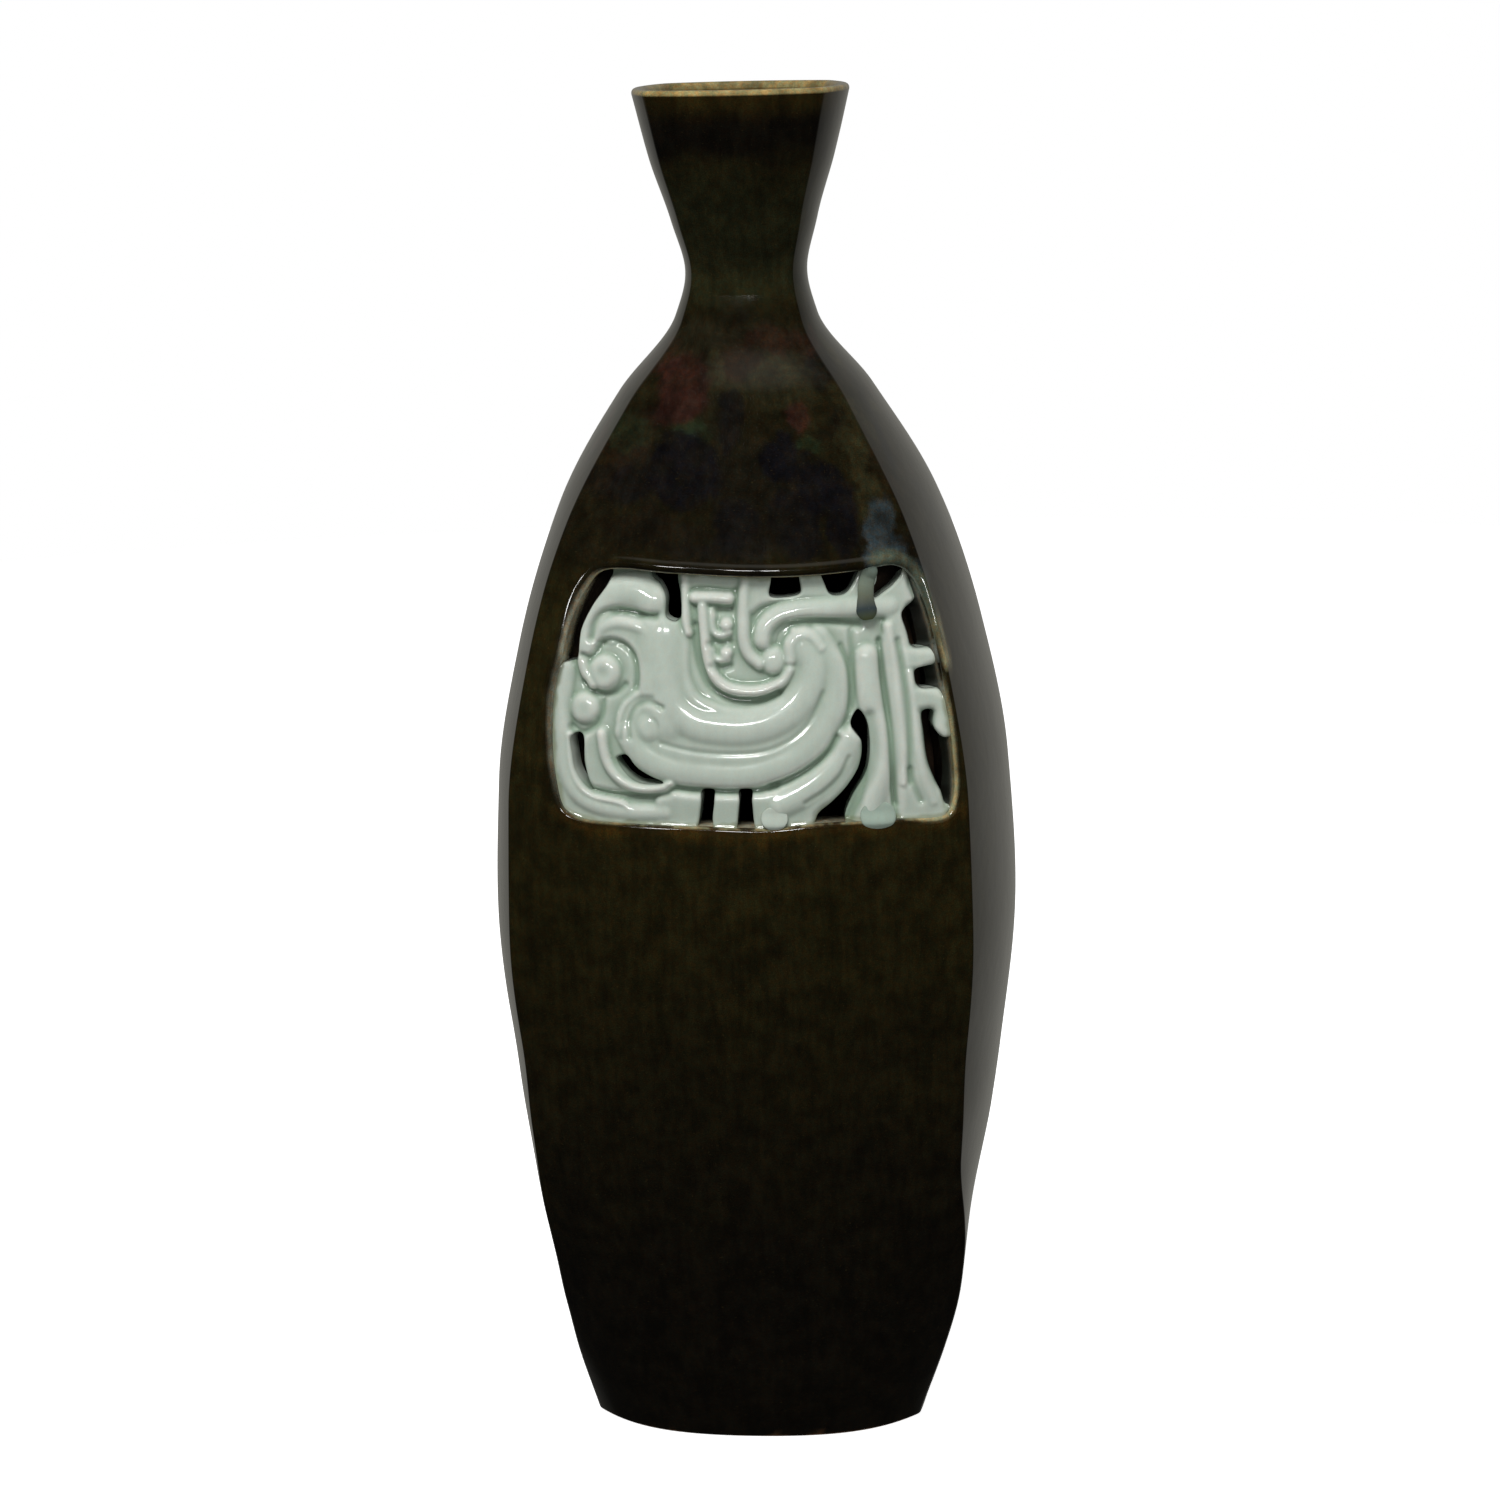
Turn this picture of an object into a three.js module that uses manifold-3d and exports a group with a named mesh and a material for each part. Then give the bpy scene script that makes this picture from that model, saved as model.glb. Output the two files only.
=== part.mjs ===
// A tall four-sided bottle vase: four bowed walls that meet in crisp corners, standing on a
// base slab, under a flared four-sided neck. The front wall has a window, and a pierced relief
// panel of a stylised bird is let into it. Coils of clay stiffen the joints on the inside.
//
// Millimetres, +Z up. The origin is the middle of the underside, and the panel faces -Y.

import * as THREE from 'three';
import { mergeVertices } from 'three/addons/utils/BufferGeometryUtils.js';
import Module from 'manifold-3d';

const wasm = await Module();
wasm.setup();

// ---- Driving dimensions ----

const HEIGHT = 400;
const BASE_THICKNESS = 10;
const NECK_SEAM = 341; // height where the collar sits on the four walls
const GAP = 0.3; // clearance at every luted joint
const COIL_GAP = 0.8; // clearance between a coil and the walls it stiffens
const FOOT_BEVEL = 1.5;

// Half the width across the middle of two opposite faces: [height, half width].
const PROFILE = [
  [0, 53], [24, 59.5], [64, 66.5], [112, 74], [160, 78.5], [200, 76.5], [240, 69],
  [280, 56], [312, 37.5], [334, 21], [348, 18.5], [362, 21], [380, 27], [HEIGHT, 32],
];
// How far a face bows out, as a share of its width between corners: [height, share].
const BOW = [[0, 0.11], [48, 0.065], [168, 0.095], [260, 0.075], [320, 0.105], [HEIGHT, 0.125]];
// Wall thickness, measured level: [height, thickness].
const THICKNESS = [[0, 9], [300, 9.5], [NECK_SEAM, 6.5], [HEIGHT, 3.5]];

const PANEL_GROUND = 3; // how far the panel's ground lies below the wall's surface
const PANEL_RELIEF = 0.4; // how far its raised figure lies below it
const PANEL_BOTTOM = 190;
const PANEL_TOP = 275;

const COIL_LEG = 11; // how far a corner coil reaches along each wall
const COIL_BULGE = 2;
const COIL_BOTTOM = BASE_THICKNESS + 9;
const COIL_TOP = 312;
const BASE_COIL_SIZE = 6;
const NECK_COIL_BOTTOM = 316;
const NECK_COIL_TOP = 328;
const NECK_COIL_THICKNESS = 3;

const WALL_LEVELS = 17;
const FACE_STEPS = 8;
const RETURN_STEPS = 1;
const COLLAR_LEVELS = 8;

// ---- Curves ----

// A smooth curve through [x, y] points, with no overshoot between them.
function smoothThrough(points, x) {
  const last = points.length - 1;
  if (x <= points[0][0]) return points[0][1];
  if (x >= points[last][0]) return points[last][1];
  const slope = (i) => (points[i + 1][1] - points[i][1]) / (points[i + 1][0] - points[i][0]);
  const tangent = (i) => {
    if (i === 0) return slope(0);
    if (i === last) return slope(last - 1);
    const before = slope(i - 1);
    const after = slope(i);
    return before * after <= 0 ? 0 : (2 * before * after) / (before + after);
  };
  const i = points.findIndex((p) => p[0] > x) - 1;
  const span = points[i + 1][0] - points[i][0];
  const t = (x - points[i][0]) / span;
  const rise = t * t * (3 - 2 * t);
  const startPull = t * (1 - t) * (1 - t) * span * tangent(i);
  const endPull = t * t * (t - 1) * span * tangent(i + 1);
  return points[i][1] * (1 - rise) + points[i + 1][1] * rise + startPull + endPull;
}

// One level of the vase. Each face is an arc; inset moves it inwards along its normal.
function levelAt(z, inset = 0) {
  const halfWidth = smoothThrough(PROFILE, z);
  const bow = smoothThrough(BOW, z);
  const corner = halfWidth / (1 + 2 * bow);
  const rise = halfWidth - corner;
  const fullRadius = (corner * corner + rise * rise) / (2 * rise);
  const centre = fullRadius - halfWidth;
  const radius = fullRadius - inset;
  return {
    faceAt: (along) => Math.sqrt(radius * radius - along * along) - centre,
    corner: (Math.sqrt(2 * radius * radius - centre * centre) - centre) / 2,
  };
}

const outerLevel = (z) => levelAt(z);
const innerLevel = (z) => levelAt(z, smoothThrough(THICKNESS, z));

// Evenly spaced numbers from start to end, both included.
function steps(start, end, count) {
  return Array.from({ length: count + 1 }, (_, i) => start + ((end - start) * i) / count);
}

// ---- Solids ----

const asVectors = (points) => points.map(([x, y]) => new THREE.Vector2(x, y));

// A closed geometry from rings of [x, y] points at rising heights, with flat ends.
function loft(rings, heights) {
  const size = rings[0].length;
  const positions = rings.flatMap((ring, i) => ring.flatMap(([x, y]) => [x, y, heights[i]]));
  const index = [];
  for (let i = 0; i + 1 < rings.length; i += 1) {
    for (let j = 0; j < size; j += 1) {
      const a = i * size + j;
      const b = i * size + ((j + 1) % size);
      index.push(a, b, b + size, a, b + size, a + size);
    }
  }
  const top = (rings.length - 1) * size;
  const capOf = (ring) => THREE.ShapeUtils.triangulateShape(asVectors(ring), []);
  for (const [a, b, c] of capOf(rings[0])) index.push(a, c, b);
  for (const [a, b, c] of capOf(rings[rings.length - 1])) index.push(top + a, top + b, top + c);
  return indexed(positions, index);
}

// A closed ring round the vase that follows its four faces. Each point of its section is
// { z, inset }, and the points go round the section anticlockwise.
function ringSolid(profile) {
  const around = [];
  for (let side = 0; side < 4; side += 1) {
    for (let k = 0; k < FACE_STEPS; k += 1) around.push({ side, share: -1 + (2 * k) / FACE_STEPS });
  }
  const positions = around.flatMap(({ side, share }) =>
    profile.flatMap(({ z, inset }) => {
      const level = levelAt(z, inset);
      const along = share * level.corner;
      const [x, y] = turned(along, -level.faceAt(along), side);
      return [x, y, z];
    }));
  const size = profile.length;
  const index = [];
  for (let i = 0; i < around.length; i += 1) {
    const next = (i + 1) % around.length;
    for (let j = 0; j < size; j += 1) {
      const k = (j + 1) % size;
      index.push(i * size + j, next * size + j, next * size + k);
      index.push(i * size + j, next * size + k, i * size + k);
    }
  }
  return indexed(positions, index);
}

// The point (x, y) turned by a number of quarter turns about the vase's axis.
function turned(x, y, quarters) {
  if (quarters === 0) return [x, y];
  return turned(-y, x, quarters - 1);
}

function indexed(positions, index) {
  const geometry = new THREE.BufferGeometry();
  geometry.setAttribute('position', new THREE.Float32BufferAttribute(positions, 3));
  geometry.setIndex(index);
  return geometry;
}

// A prism along Y over an outline of [x, z] points, right through the front wall.
function prism(outline) {
  const shape = new THREE.Shape(asVectors(outline));
  const depth = 60;
  const geometry = new THREE.ExtrudeGeometry(shape, { depth, bevelEnabled: false });
  geometry.rotateX(Math.PI / 2);
  geometry.translate(0, -40, 0);
  return geometry;
}

// A closed smooth outline through [x, z] points.
function rounded(points, divisions) {
  const knots = points.map(([x, z]) => new THREE.Vector3(x, 0, z));
  const curve = new THREE.CatmullRomCurve3(knots, true, 'centripetal');
  return curve.getPoints(divisions).slice(0, -1).map((p) => [p.x, p.z]);
}

function toManifold(geometry) {
  const bare = geometry.clone();
  bare.deleteAttribute('normal');
  bare.deleteAttribute('uv');
  const merged = mergeVertices(bare, 1e-4);
  return new wasm.Manifold(new wasm.Mesh({
    numProp: 3,
    vertProperties: new Float32Array(merged.attributes.position.array),
    triVerts: new Uint32Array(merged.index.array),
  }));
}

function toGeometry(solid) {
  const mesh = solid.getMesh();
  return indexed(Array.from(mesh.vertProperties), Array.from(mesh.triVerts));
}

// ---- Walls ----

// A full-width wall, front or back: its ends are the corners of the vase.
function broadSection(z, recess) {
  const outer = outerLevel(z);
  const front = levelAt(z, recess);
  const inner = innerLevel(z);
  const joint = inner.corner;
  const ring = [];
  for (const x of steps(-outer.corner, outer.corner, FACE_STEPS)) ring.push([x, -front.faceAt(x)]);
  for (const y of steps(-outer.corner, -joint, RETURN_STEPS).slice(1)) ring.push([outer.faceAt(y), y]);
  for (const x of steps(joint, -joint, FACE_STEPS)) ring.push([x, -inner.faceAt(x)]);
  for (const y of steps(-joint, -outer.corner, RETURN_STEPS).slice(0, -1)) ring.push([-outer.faceAt(y), y]);
  return ring;
}

// A side wall, which fits between the two full-width walls.
function narrowSection(z) {
  const outer = outerLevel(z);
  const inner = innerLevel(z);
  const joint = inner.corner - GAP;
  const ring = [];
  for (const x of steps(-joint, joint, FACE_STEPS)) ring.push([x, -outer.faceAt(x)]);
  for (const x of steps(joint, -joint, FACE_STEPS)) ring.push([x, -inner.faceAt(x)]);
  return ring;
}

function wallGeometry(section) {
  const heights = steps(BASE_THICKNESS + GAP, NECK_SEAM - GAP / 2, WALL_LEVELS);
  return loft(heights.map(section), heights);
}

function baseSlab() {
  const heights = [0, FOOT_BEVEL, BASE_THICKNESS];
  const rings = heights.map((z) => {
    const level = levelAt(z, z === 0 ? FOOT_BEVEL : 0);
    return [0, 1, 2, 3].flatMap((side) => steps(-level.corner, level.corner, FACE_STEPS)
      .slice(0, -1).map((x) => turned(x, -level.faceAt(x), side)));
  });
  return loft(rings, heights);
}

function neckCollar() {
  const heights = steps(NECK_SEAM + GAP / 2, HEIGHT, COLLAR_LEVELS);
  const inside = heights.map((z) => ({ z, inset: smoothThrough(THICKNESS, z) }));
  const outside = heights.map((z) => ({ z, inset: 0 }));
  return ringSolid([...outside, ...inside.reverse()]);
}

// ---- Window and panel ----

const WINDOW = rounded([
  [-38, 267], [-17, 266.5], [4, 265.5], [20, 265.5], [36, 266.5], [46, 267.5], [50.5, 264.5],
  [54.1, 257], [57.2, 245.5], [59.8, 232], [61.8, 217], [62, 203], [60, 198.5], [46, 198],
  [23, 197.5], [9, 196.5], [-9, 197], [-30, 197.5], [-45, 198.5], [-49.5, 201], [-52, 210],
  [-53, 220], [-52.5, 233], [-50, 243], [-47, 254], [-42.5, 263],
], 52);

// The window's outline moved inwards, for the panel's own edge.
function insetOutline(outline, distance) {
  const turn = THREE.ShapeUtils.isClockWise(asVectors(outline)) ? 1 : -1;
  return outline.map(([x, z], i) => {
    const [ax, az] = outline[(i + outline.length - 1) % outline.length];
    const [bx, bz] = outline[(i + 1) % outline.length];
    const length = Math.hypot(bx - ax, bz - az);
    return [x + (turn * distance * (bz - az)) / length, z - (turn * distance * (bx - ax)) / length];
  });
}

// The piercings between the bird and its frame, clockwise from the upper left. Those at the
// frame run past the window's edge, so that the wall itself bounds them.
const PIERCINGS = [
  [[-42, 270], [-37, 268], [-38, 264], [-42, 257.5], [-45, 251], [-46.5, 242.5], [-52, 241.5], [-51, 250],
    [-47, 262]],
  [[-24, 270], [-24, 265.2], [-21.5, 263], [-20, 260], [-20, 255], [-17, 253.5], [-15.8, 255], [-16, 260],
    [-17, 265], [-17, 270]],
  [[10.7, 269], [18.2, 269], [19.5, 261], [10.2, 260]],
  [[24.5, 269], [36, 269], [34.5, 264], [32, 260.3], [27.5, 260.3]],
  [[42, 270], [48, 270], [48, 265], [45.5, 261.5], [41.5, 259], [39.8, 259.5], [41, 263]],
  [[48.5, 254.5], [51, 256.5], [56, 260], [62, 252], [63, 243], [57, 244.5], [51.5, 245], [50, 249]],
  [[52.2, 238.5], [57, 239.5], [66, 241], [66, 233], [58.5, 233.2], [53, 234]],
  [[54.2, 227], [57, 227], [57, 222.5], [60, 219.5], [66, 221], [66, 201], [60.5, 201], [59, 205],
    [57.5, 208], [55.5, 213.5], [54.5, 221]],
  [[33.5, 224.5], [36, 229], [38.5, 225], [39.8, 219], [38.5, 211], [34, 204], [32, 199], [32, 193],
    [23, 193], [24, 199.3], [28, 203], [32.5, 207.5], [36, 213.5], [36.5, 220]],
  [[-9.5, 206.5], [-6, 206.5], [-6, 202], [-6.5, 193], [-10.5, 193], [-9.8, 203]],
  [[1.3, 206.5], [5, 206.5], [4.8, 202], [5.5, 193], [1.2, 193], [1.8, 203]],
  [[-34.5, 215.5], [-31, 216], [-28, 212.5], [-21.5, 209], [-27, 209], [-31.5, 211.5]],
  [[-47.8, 221], [-44.6, 221], [-44, 214], [-42, 207], [-45, 209.5], [-47, 214]],
];

// The parts of the figure that stand up from the panel's ground: crested head and neck, body
// with its breast, the lower loop, the tail and the two fluted pillars.
const FIGURE = [
  [[-44, 247], [-42, 257], [-36, 263], [-27, 264.5], [-21.8, 261], [-21, 254.8], [-16, 252.5],
    [-13, 247], [-9, 236], [-3, 231], [8, 231], [15, 236], [20, 248], [26, 247], [31, 238], [31.5, 226],
    [27, 217], [18, 211], [4, 208.5], [-12, 209.5], [-22, 213], [-29, 219], [-32, 226], [-30, 236],
    [-31, 243], [-37, 246]],
  [[5, 262.5], [24, 259], [44, 258], [47, 253], [41, 251], [34, 248], [22, 253.5], [14, 253], [9, 248],
    [12, 242], [7, 240], [3, 246], [3, 256]],
  [[37, 246], [40, 245.5], [44, 232], [45, 220], [44, 210], [44, 200.5], [34, 200.5], [39, 212],
    [41, 220], [39, 232]],
  [[46, 257], [49, 254], [52, 240], [53, 225], [55, 212], [59, 205], [58.5, 200.5], [46.5, 200.5],
    [47, 215], [46.5, 232]],
  [[8, 206.5], [18, 210.5], [30, 219], [33, 222.5], [35, 219], [32, 211], [24, 202.5], [14, 199.5],
    [7, 200.5]],
];

function frontWall() {
  const whole = toManifold(wallGeometry((z) => broadSection(z, 0)));
  return toGeometry(whole.subtract(toManifold(prism(WINDOW))));
}

// The slab of clay that the panel is cut from, with its face this far below the wall's face.
function panelClay(recess) {
  const heights = steps(PANEL_BOTTOM, PANEL_TOP, 6);
  return toManifold(loft(heights.map((z) => broadSection(z, recess)), heights));
}

// A smooth-edged cutter through the wall, with two edges for each of its points.
const cutter = (points) => toManifold(prism(rounded(points, points.length * 2)));

function openworkPanel() {
  const outline = toManifold(prism(insetOutline(WINDOW, GAP)));
  let panel = panelClay(PANEL_GROUND);
  for (const points of FIGURE) {
    panel = panel.add(panelClay(PANEL_RELIEF).intersect(cutter(points)));
  }
  panel = panel.intersect(outline);
  for (const points of PIERCINGS) panel = panel.subtract(cutter(points));
  return toGeometry(panel);
}

// ---- Reinforcing coils ----

// A coil smeared up one inside corner, following the walls' curve.
function cornerCoil(quarters) {
  const heights = steps(COIL_BOTTOM, COIL_TOP, 12);
  const rings = heights.map((z) => {
    const level = levelAt(z, smoothThrough(THICKNESS, z) + COIL_GAP);
    const corner = level.corner;
    const far = corner - Math.min(COIL_LEG, corner * 0.6);
    const middle = (far + level.faceAt(far)) / 2 - COIL_BULGE;
    const along = steps(far, corner, 2);
    const ring = [
      ...along.map((x) => [x, -level.faceAt(x)]),
      ...along.slice(0, -1).reverse().map((y) => [level.faceAt(y), -y]),
      [middle, -middle],
    ];
    return ring.map(([x, y]) => turned(x, y, quarters));
  });
  return loft(rings, heights);
}

function baseCoil() {
  const bottom = BASE_THICKNESS + GAP;
  const wallAt = (z) => smoothThrough(THICKNESS, z) + COIL_GAP;
  return ringSolid([
    { z: bottom, inset: wallAt(bottom) + BASE_COIL_SIZE },
    { z: bottom, inset: wallAt(bottom) },
    { z: bottom + BASE_COIL_SIZE, inset: wallAt(bottom + BASE_COIL_SIZE) },
  ]);
}

function neckCoil() {
  const wallAt = (z) => smoothThrough(THICKNESS, z) + COIL_GAP;
  const middle = (NECK_COIL_BOTTOM + NECK_COIL_TOP) / 2;
  return ringSolid([
    { z: NECK_COIL_BOTTOM, inset: wallAt(NECK_COIL_BOTTOM) },
    { z: middle, inset: wallAt(middle) },
    { z: NECK_COIL_TOP, inset: wallAt(NECK_COIL_TOP) },
    { z: middle - 2, inset: wallAt(middle) + NECK_COIL_THICKNESS },
  ]);
}

// ---- Finishes ----

const darkGlaze = new THREE.MeshStandardMaterial({ color: 0x1d1a10, roughness: 0.12, metalness: 0 });
const celadonGlaze = new THREE.MeshStandardMaterial({ color: 0xb3bfb5, roughness: 0.1, metalness: 0 });
const bareClay = new THREE.MeshStandardMaterial({ color: 0x9a8468, roughness: 0.85, metalness: 0 });

// ---- Assembly ----

const vase = new THREE.Group();

function addPiece(name, geometry, material, quarterTurns = 0) {
  const mesh = new THREE.Mesh(geometry, material);
  mesh.name = name;
  mesh.rotation.z = (quarterTurns * Math.PI) / 2;
  vase.add(mesh);
}

addPiece('base_slab', baseSlab(), bareClay);
addPiece('front_wall', frontWall(), darkGlaze);
addPiece('right_wall', wallGeometry(narrowSection), darkGlaze, 1);
addPiece('back_wall', wallGeometry((z) => broadSection(z, 0)), darkGlaze, 2);
addPiece('left_wall', wallGeometry(narrowSection), darkGlaze, 3);
addPiece('neck_collar', neckCollar(), darkGlaze);
addPiece('openwork_panel', openworkPanel(), celadonGlaze);
addPiece('base_coil', baseCoil(), bareClay);
addPiece('neck_coil', neckCoil(), bareClay);
['front_right', 'back_right', 'back_left', 'front_left'].forEach((place, quarters) => {
  addPiece(`coil_${place}`, cornerCoil(quarters), bareClay);
});

export default vase;
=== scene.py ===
"""A tall four-sided bottle vase in dark glaze, with a pierced celadon panel let into its front.

Shapes are worked out in design millimetres (400 high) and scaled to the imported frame's box.
Heights z run up from the underside, x runs to the right along the front face, and depths
run inwards from the outside of the wall. Side 0 is the front, 1 the right, 2 the back, 3 the left.
"""

import math

import bpy
import numpy as np
from mathutils import Matrix, Vector
from mathutils.geometry import delaunay_2d_cdt


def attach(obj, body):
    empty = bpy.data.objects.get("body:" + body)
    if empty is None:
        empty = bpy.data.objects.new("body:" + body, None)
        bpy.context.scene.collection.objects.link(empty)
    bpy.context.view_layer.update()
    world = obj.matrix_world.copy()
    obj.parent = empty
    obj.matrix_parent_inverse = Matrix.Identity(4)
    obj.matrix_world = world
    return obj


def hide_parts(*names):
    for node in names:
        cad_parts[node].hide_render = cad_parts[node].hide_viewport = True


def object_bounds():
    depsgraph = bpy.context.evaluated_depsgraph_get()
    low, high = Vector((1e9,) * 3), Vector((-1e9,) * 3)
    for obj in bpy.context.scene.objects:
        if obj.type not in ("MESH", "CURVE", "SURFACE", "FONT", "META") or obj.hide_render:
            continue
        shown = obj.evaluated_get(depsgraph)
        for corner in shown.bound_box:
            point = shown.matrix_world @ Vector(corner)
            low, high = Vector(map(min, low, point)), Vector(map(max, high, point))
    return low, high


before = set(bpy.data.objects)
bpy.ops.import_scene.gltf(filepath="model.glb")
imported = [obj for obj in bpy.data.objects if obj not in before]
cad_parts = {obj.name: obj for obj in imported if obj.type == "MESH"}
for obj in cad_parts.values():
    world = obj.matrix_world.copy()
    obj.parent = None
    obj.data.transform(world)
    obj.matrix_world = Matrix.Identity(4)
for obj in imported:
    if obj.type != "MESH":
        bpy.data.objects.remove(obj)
cad_low, cad_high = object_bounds()

HEIGHT = 400.0
MM = (cad_high.z - cad_low.z) / HEIGHT
ORIGIN = np.array([(cad_low.x + cad_high.x) / 2, (cad_low.y + cad_high.y) / 2, cad_low.z])

# ---- The vase's form: tables of (height, value) ----

# Half the width from face to face.
PROFILE = [
    (0, 53), (24, 59.5), (64, 66.5), (112, 74), (160, 78.5), (200, 76.5), (240, 69),
    (280, 56), (312, 37.5), (334, 21), (348, 18.5), (362, 21), (380, 27), (400, 32),
]
# How far a face bows out, as a share of its width.
BOW = [
    (0, 0.11), (48, 0.06), (72, 0.058), (100, 0.073), (130, 0.086), (168, 0.086),
    (215, 0.077), (260, 0.073), (320, 0.105), (400, 0.125),
]
THICKNESS = [(0, 9), (300, 9.5), (341, 6.5), (400, 3.5)]
# The radius of the corners outside.
ARRIS = [(0, 1.0), (60, 1.1), (200, 1.1), (290, 1.7), (334, 2.2), (360, 2.0), (385, 3.2), (400, 6)]
INNER_ARRIS = 2.5
# How much wider the foot's corners stand at the right and at the left, and how much less deep.
GROWTH_RIGHT = [(0, 0.117), (25, 0.1), (40, 0.095), (60, 0.075), (92, 0), (400, 0)]
GROWTH_LEFT = [(0, 0.117), (25, 0.068), (40, 0.036), (60, 0.012), (92, 0), (400, 0)]
FOOT_FLATTENING = 0.43
BASE_TOP = 10.0
NECK_SEAM = 341.0
FOOT_ROUND = 0.9
LIP_THICKNESS = 3.5
PANEL_BOTTOM_DEPTH = 0.6
PANEL_TOP_DEPTH = 2.7
PANEL_RELIEF = 3.1
# How far the back of the panel stays short of the inside of the wall.
PANEL_SHORT = 0.4


def smooth_through(table, x):
    """A smooth curve through the table's points, with no overshoot between them."""
    px, py = np.array(table, float).T
    slope = np.diff(py) / np.diff(px)
    tangent = np.concatenate([slope[:1], np.zeros(len(px) - 2), slope[-1:]])
    before, after = slope[:-1], slope[1:]
    rising = before * after > 0
    tangent[1:-1][rising] = (2 * before * after / np.where(rising, before + after, 1))[rising]
    x = np.clip(np.asarray(x, float), px[0], px[-1])
    i = np.clip(np.searchsorted(px, x, side="right") - 1, 0, len(slope) - 1)
    span = px[i + 1] - px[i]
    t = (x - px[i]) / span
    rise = t * t * (3 - 2 * t)
    pull = t * (1 - t) ** 2 * tangent[i] + t * t * (t - 1) * tangent[i + 1]
    return py[i] * (1 - rise) + py[i + 1] * rise + span * pull


def ease(low, high, x):
    """Rises from 0 to 1 between low and high."""
    t = np.clip((np.asarray(x, float) - low) / (high - low), 0, 1)
    return t * t * (3 - 2 * t)


def fade(low, high, x):
    """Falls from 1 to 0 between low and high."""
    return 1 - ease(low, high, x)


def bell(x, centre, width):
    """A smooth hump, 1 high at its centre."""
    return np.exp(-(((x - centre) / width) ** 2))


def circle_at(z):
    """The radius of a face's arc at height z, and how far its centre lies behind the axis."""
    half = smooth_through(PROFILE, z)
    corner = half / (1 + 2 * smooth_through(BOW, z))
    rise = half - corner
    radius = (corner * corner + rise * rise) / (2 * rise)
    return radius, radius - half


def arris_centre(radius, centre, arris):
    """How far along x and y the middle of a rounded corner lies from the axis."""
    return (np.sqrt(2 * (radius - arris) ** 2 - centre**2) - centre) / 2


def face_half(z):
    """How far x runs from the middle of the front face to where its rounded corner starts."""
    radius, centre = circle_at(z)
    arris = smooth_through(ARRIS, z)
    return radius * arris_centre(radius, centre, arris) / (radius - arris)


def section(v, radius, centre, arris):
    """Points (x, y) and outward directions on one quarter of a level. v is -1 to 1 across
    the face, and 1 to 3 round the corner to the next face."""
    k = arris_centre(radius, centre, arris)
    lean = np.arcsin(k / (radius - arris))
    along = np.arcsin(np.clip(v, -1, 1) * np.sin(lean))
    bend = (np.abs(v) - 1).clip(0) * np.sign(v) * (math.pi / 4 - lean)
    on_corner = np.abs(v) > 1
    angle = np.where(on_corner, np.sign(v) * lean + bend, along)
    out = np.stack([np.sin(angle), -np.cos(angle)], -1)
    size = np.where(on_corner, arris, radius)[..., None]
    of_corner = np.stack([np.sign(v) * k, -k + 0 * v], -1)
    of_face = np.stack([0 * v, centre + 0 * v], -1)
    return np.where(on_corner[..., None], of_corner, of_face) + size * out, out


def turned(points, quarters):
    """Points turned about the axis by quarter turns, the first from the front to the right."""
    for _ in range(quarters):
        points = np.stack([-points[..., 1], points[..., 0], points[..., 2]], -1)
    return points


# ---- Numbers without pattern, the same at each run ----


def lattice(i, j, k, seed):
    """A number from -1 to 1 for each whole-number point, with no pattern to it."""
    mixed_up = (i * 374761393 + j * 668265263 + k * 2147483647 + seed * 974711) & 0xFFFFFFFF
    mixed_up = ((mixed_up ^ (mixed_up >> 13)) * 1274126177) & 0xFFFFFFFF
    mixed_up = ((mixed_up ^ (mixed_up >> 16)) * 2246822519) & 0xFFFFFFFF
    return ((mixed_up ^ (mixed_up >> 15)) & 0xFFFF) / 32767.5 - 1


def noise(points, size, seed, octaves=1):
    """Smooth noise over points (n, 3), whose features are about this size in millimetres."""
    total, weight = np.zeros(len(points)), 1.0
    for octave in range(octaves):
        p = points / size * 2**octave + 1000
        cell = np.floor(p).astype(np.int64)
        f = p - cell
        f = f * f * (3 - 2 * f)
        for corner in range(8):
            step = np.array([corner & 1, corner >> 1 & 1, corner >> 2])
            share = np.prod(np.where(step, f, 1 - f), axis=1)
            total += weight * share * lattice(*(cell + step).T, seed + 31 * octave)
        weight *= 0.5
    return total


# ---- Outlines on the front face, in (x, z) ----


def spline(points, closed, spacing):
    """A smooth line through (x, z) points, as points about this far apart."""
    p = np.array(points, float)
    if closed:
        p = np.vstack([p[-1:], p, p[:2]])
    else:
        p = np.vstack([2 * p[0] - p[1], p, 2 * p[-1] - p[-2]])
    line = []
    for a, b, c, d in zip(p[:-3], p[1:-2], p[2:-1], p[3:]):
        before, span, after = (math.sqrt(max(math.dist(*pair), 1e-4)) for pair in ((a, b), (b, c), (c, d)))
        start = ((b - a) / before - (c - a) / (before + span) + (c - b) / span) * span
        end = ((c - b) / span - (d - b) / (span + after) + (d - c) / after) * span
        count = max(1, round(math.dist(b, c) / spacing))
        t = (np.arange(count) / count)[:, None]
        rise = t * t * (3 - 2 * t)
        line.append(b * (1 - rise) + c * rise + t * (1 - t) ** 2 * start + t * t * (t - 1) * end)
    if not closed:
        line.append(p[-2:-1])
    return np.vstack(line)


WINDOW = spline([
    (-38, 267), (-17, 266.5), (4, 265.5), (20, 265.5), (36, 266.5), (46, 267.5), (50.5, 264.5),
    (54.1, 257), (57.2, 245.5), (59.8, 232), (61.8, 217), (62, 203), (60, 198.5), (46, 198),
    (23, 197.5), (9, 196.5), (-9, 197), (-30, 197.5), (-45, 198.5), (-49.5, 201), (-52, 210),
    (-53, 220), (-52.5, 233), (-50, 243), (-47, 254), (-42.5, 263),
], True, 0.7)

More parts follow.
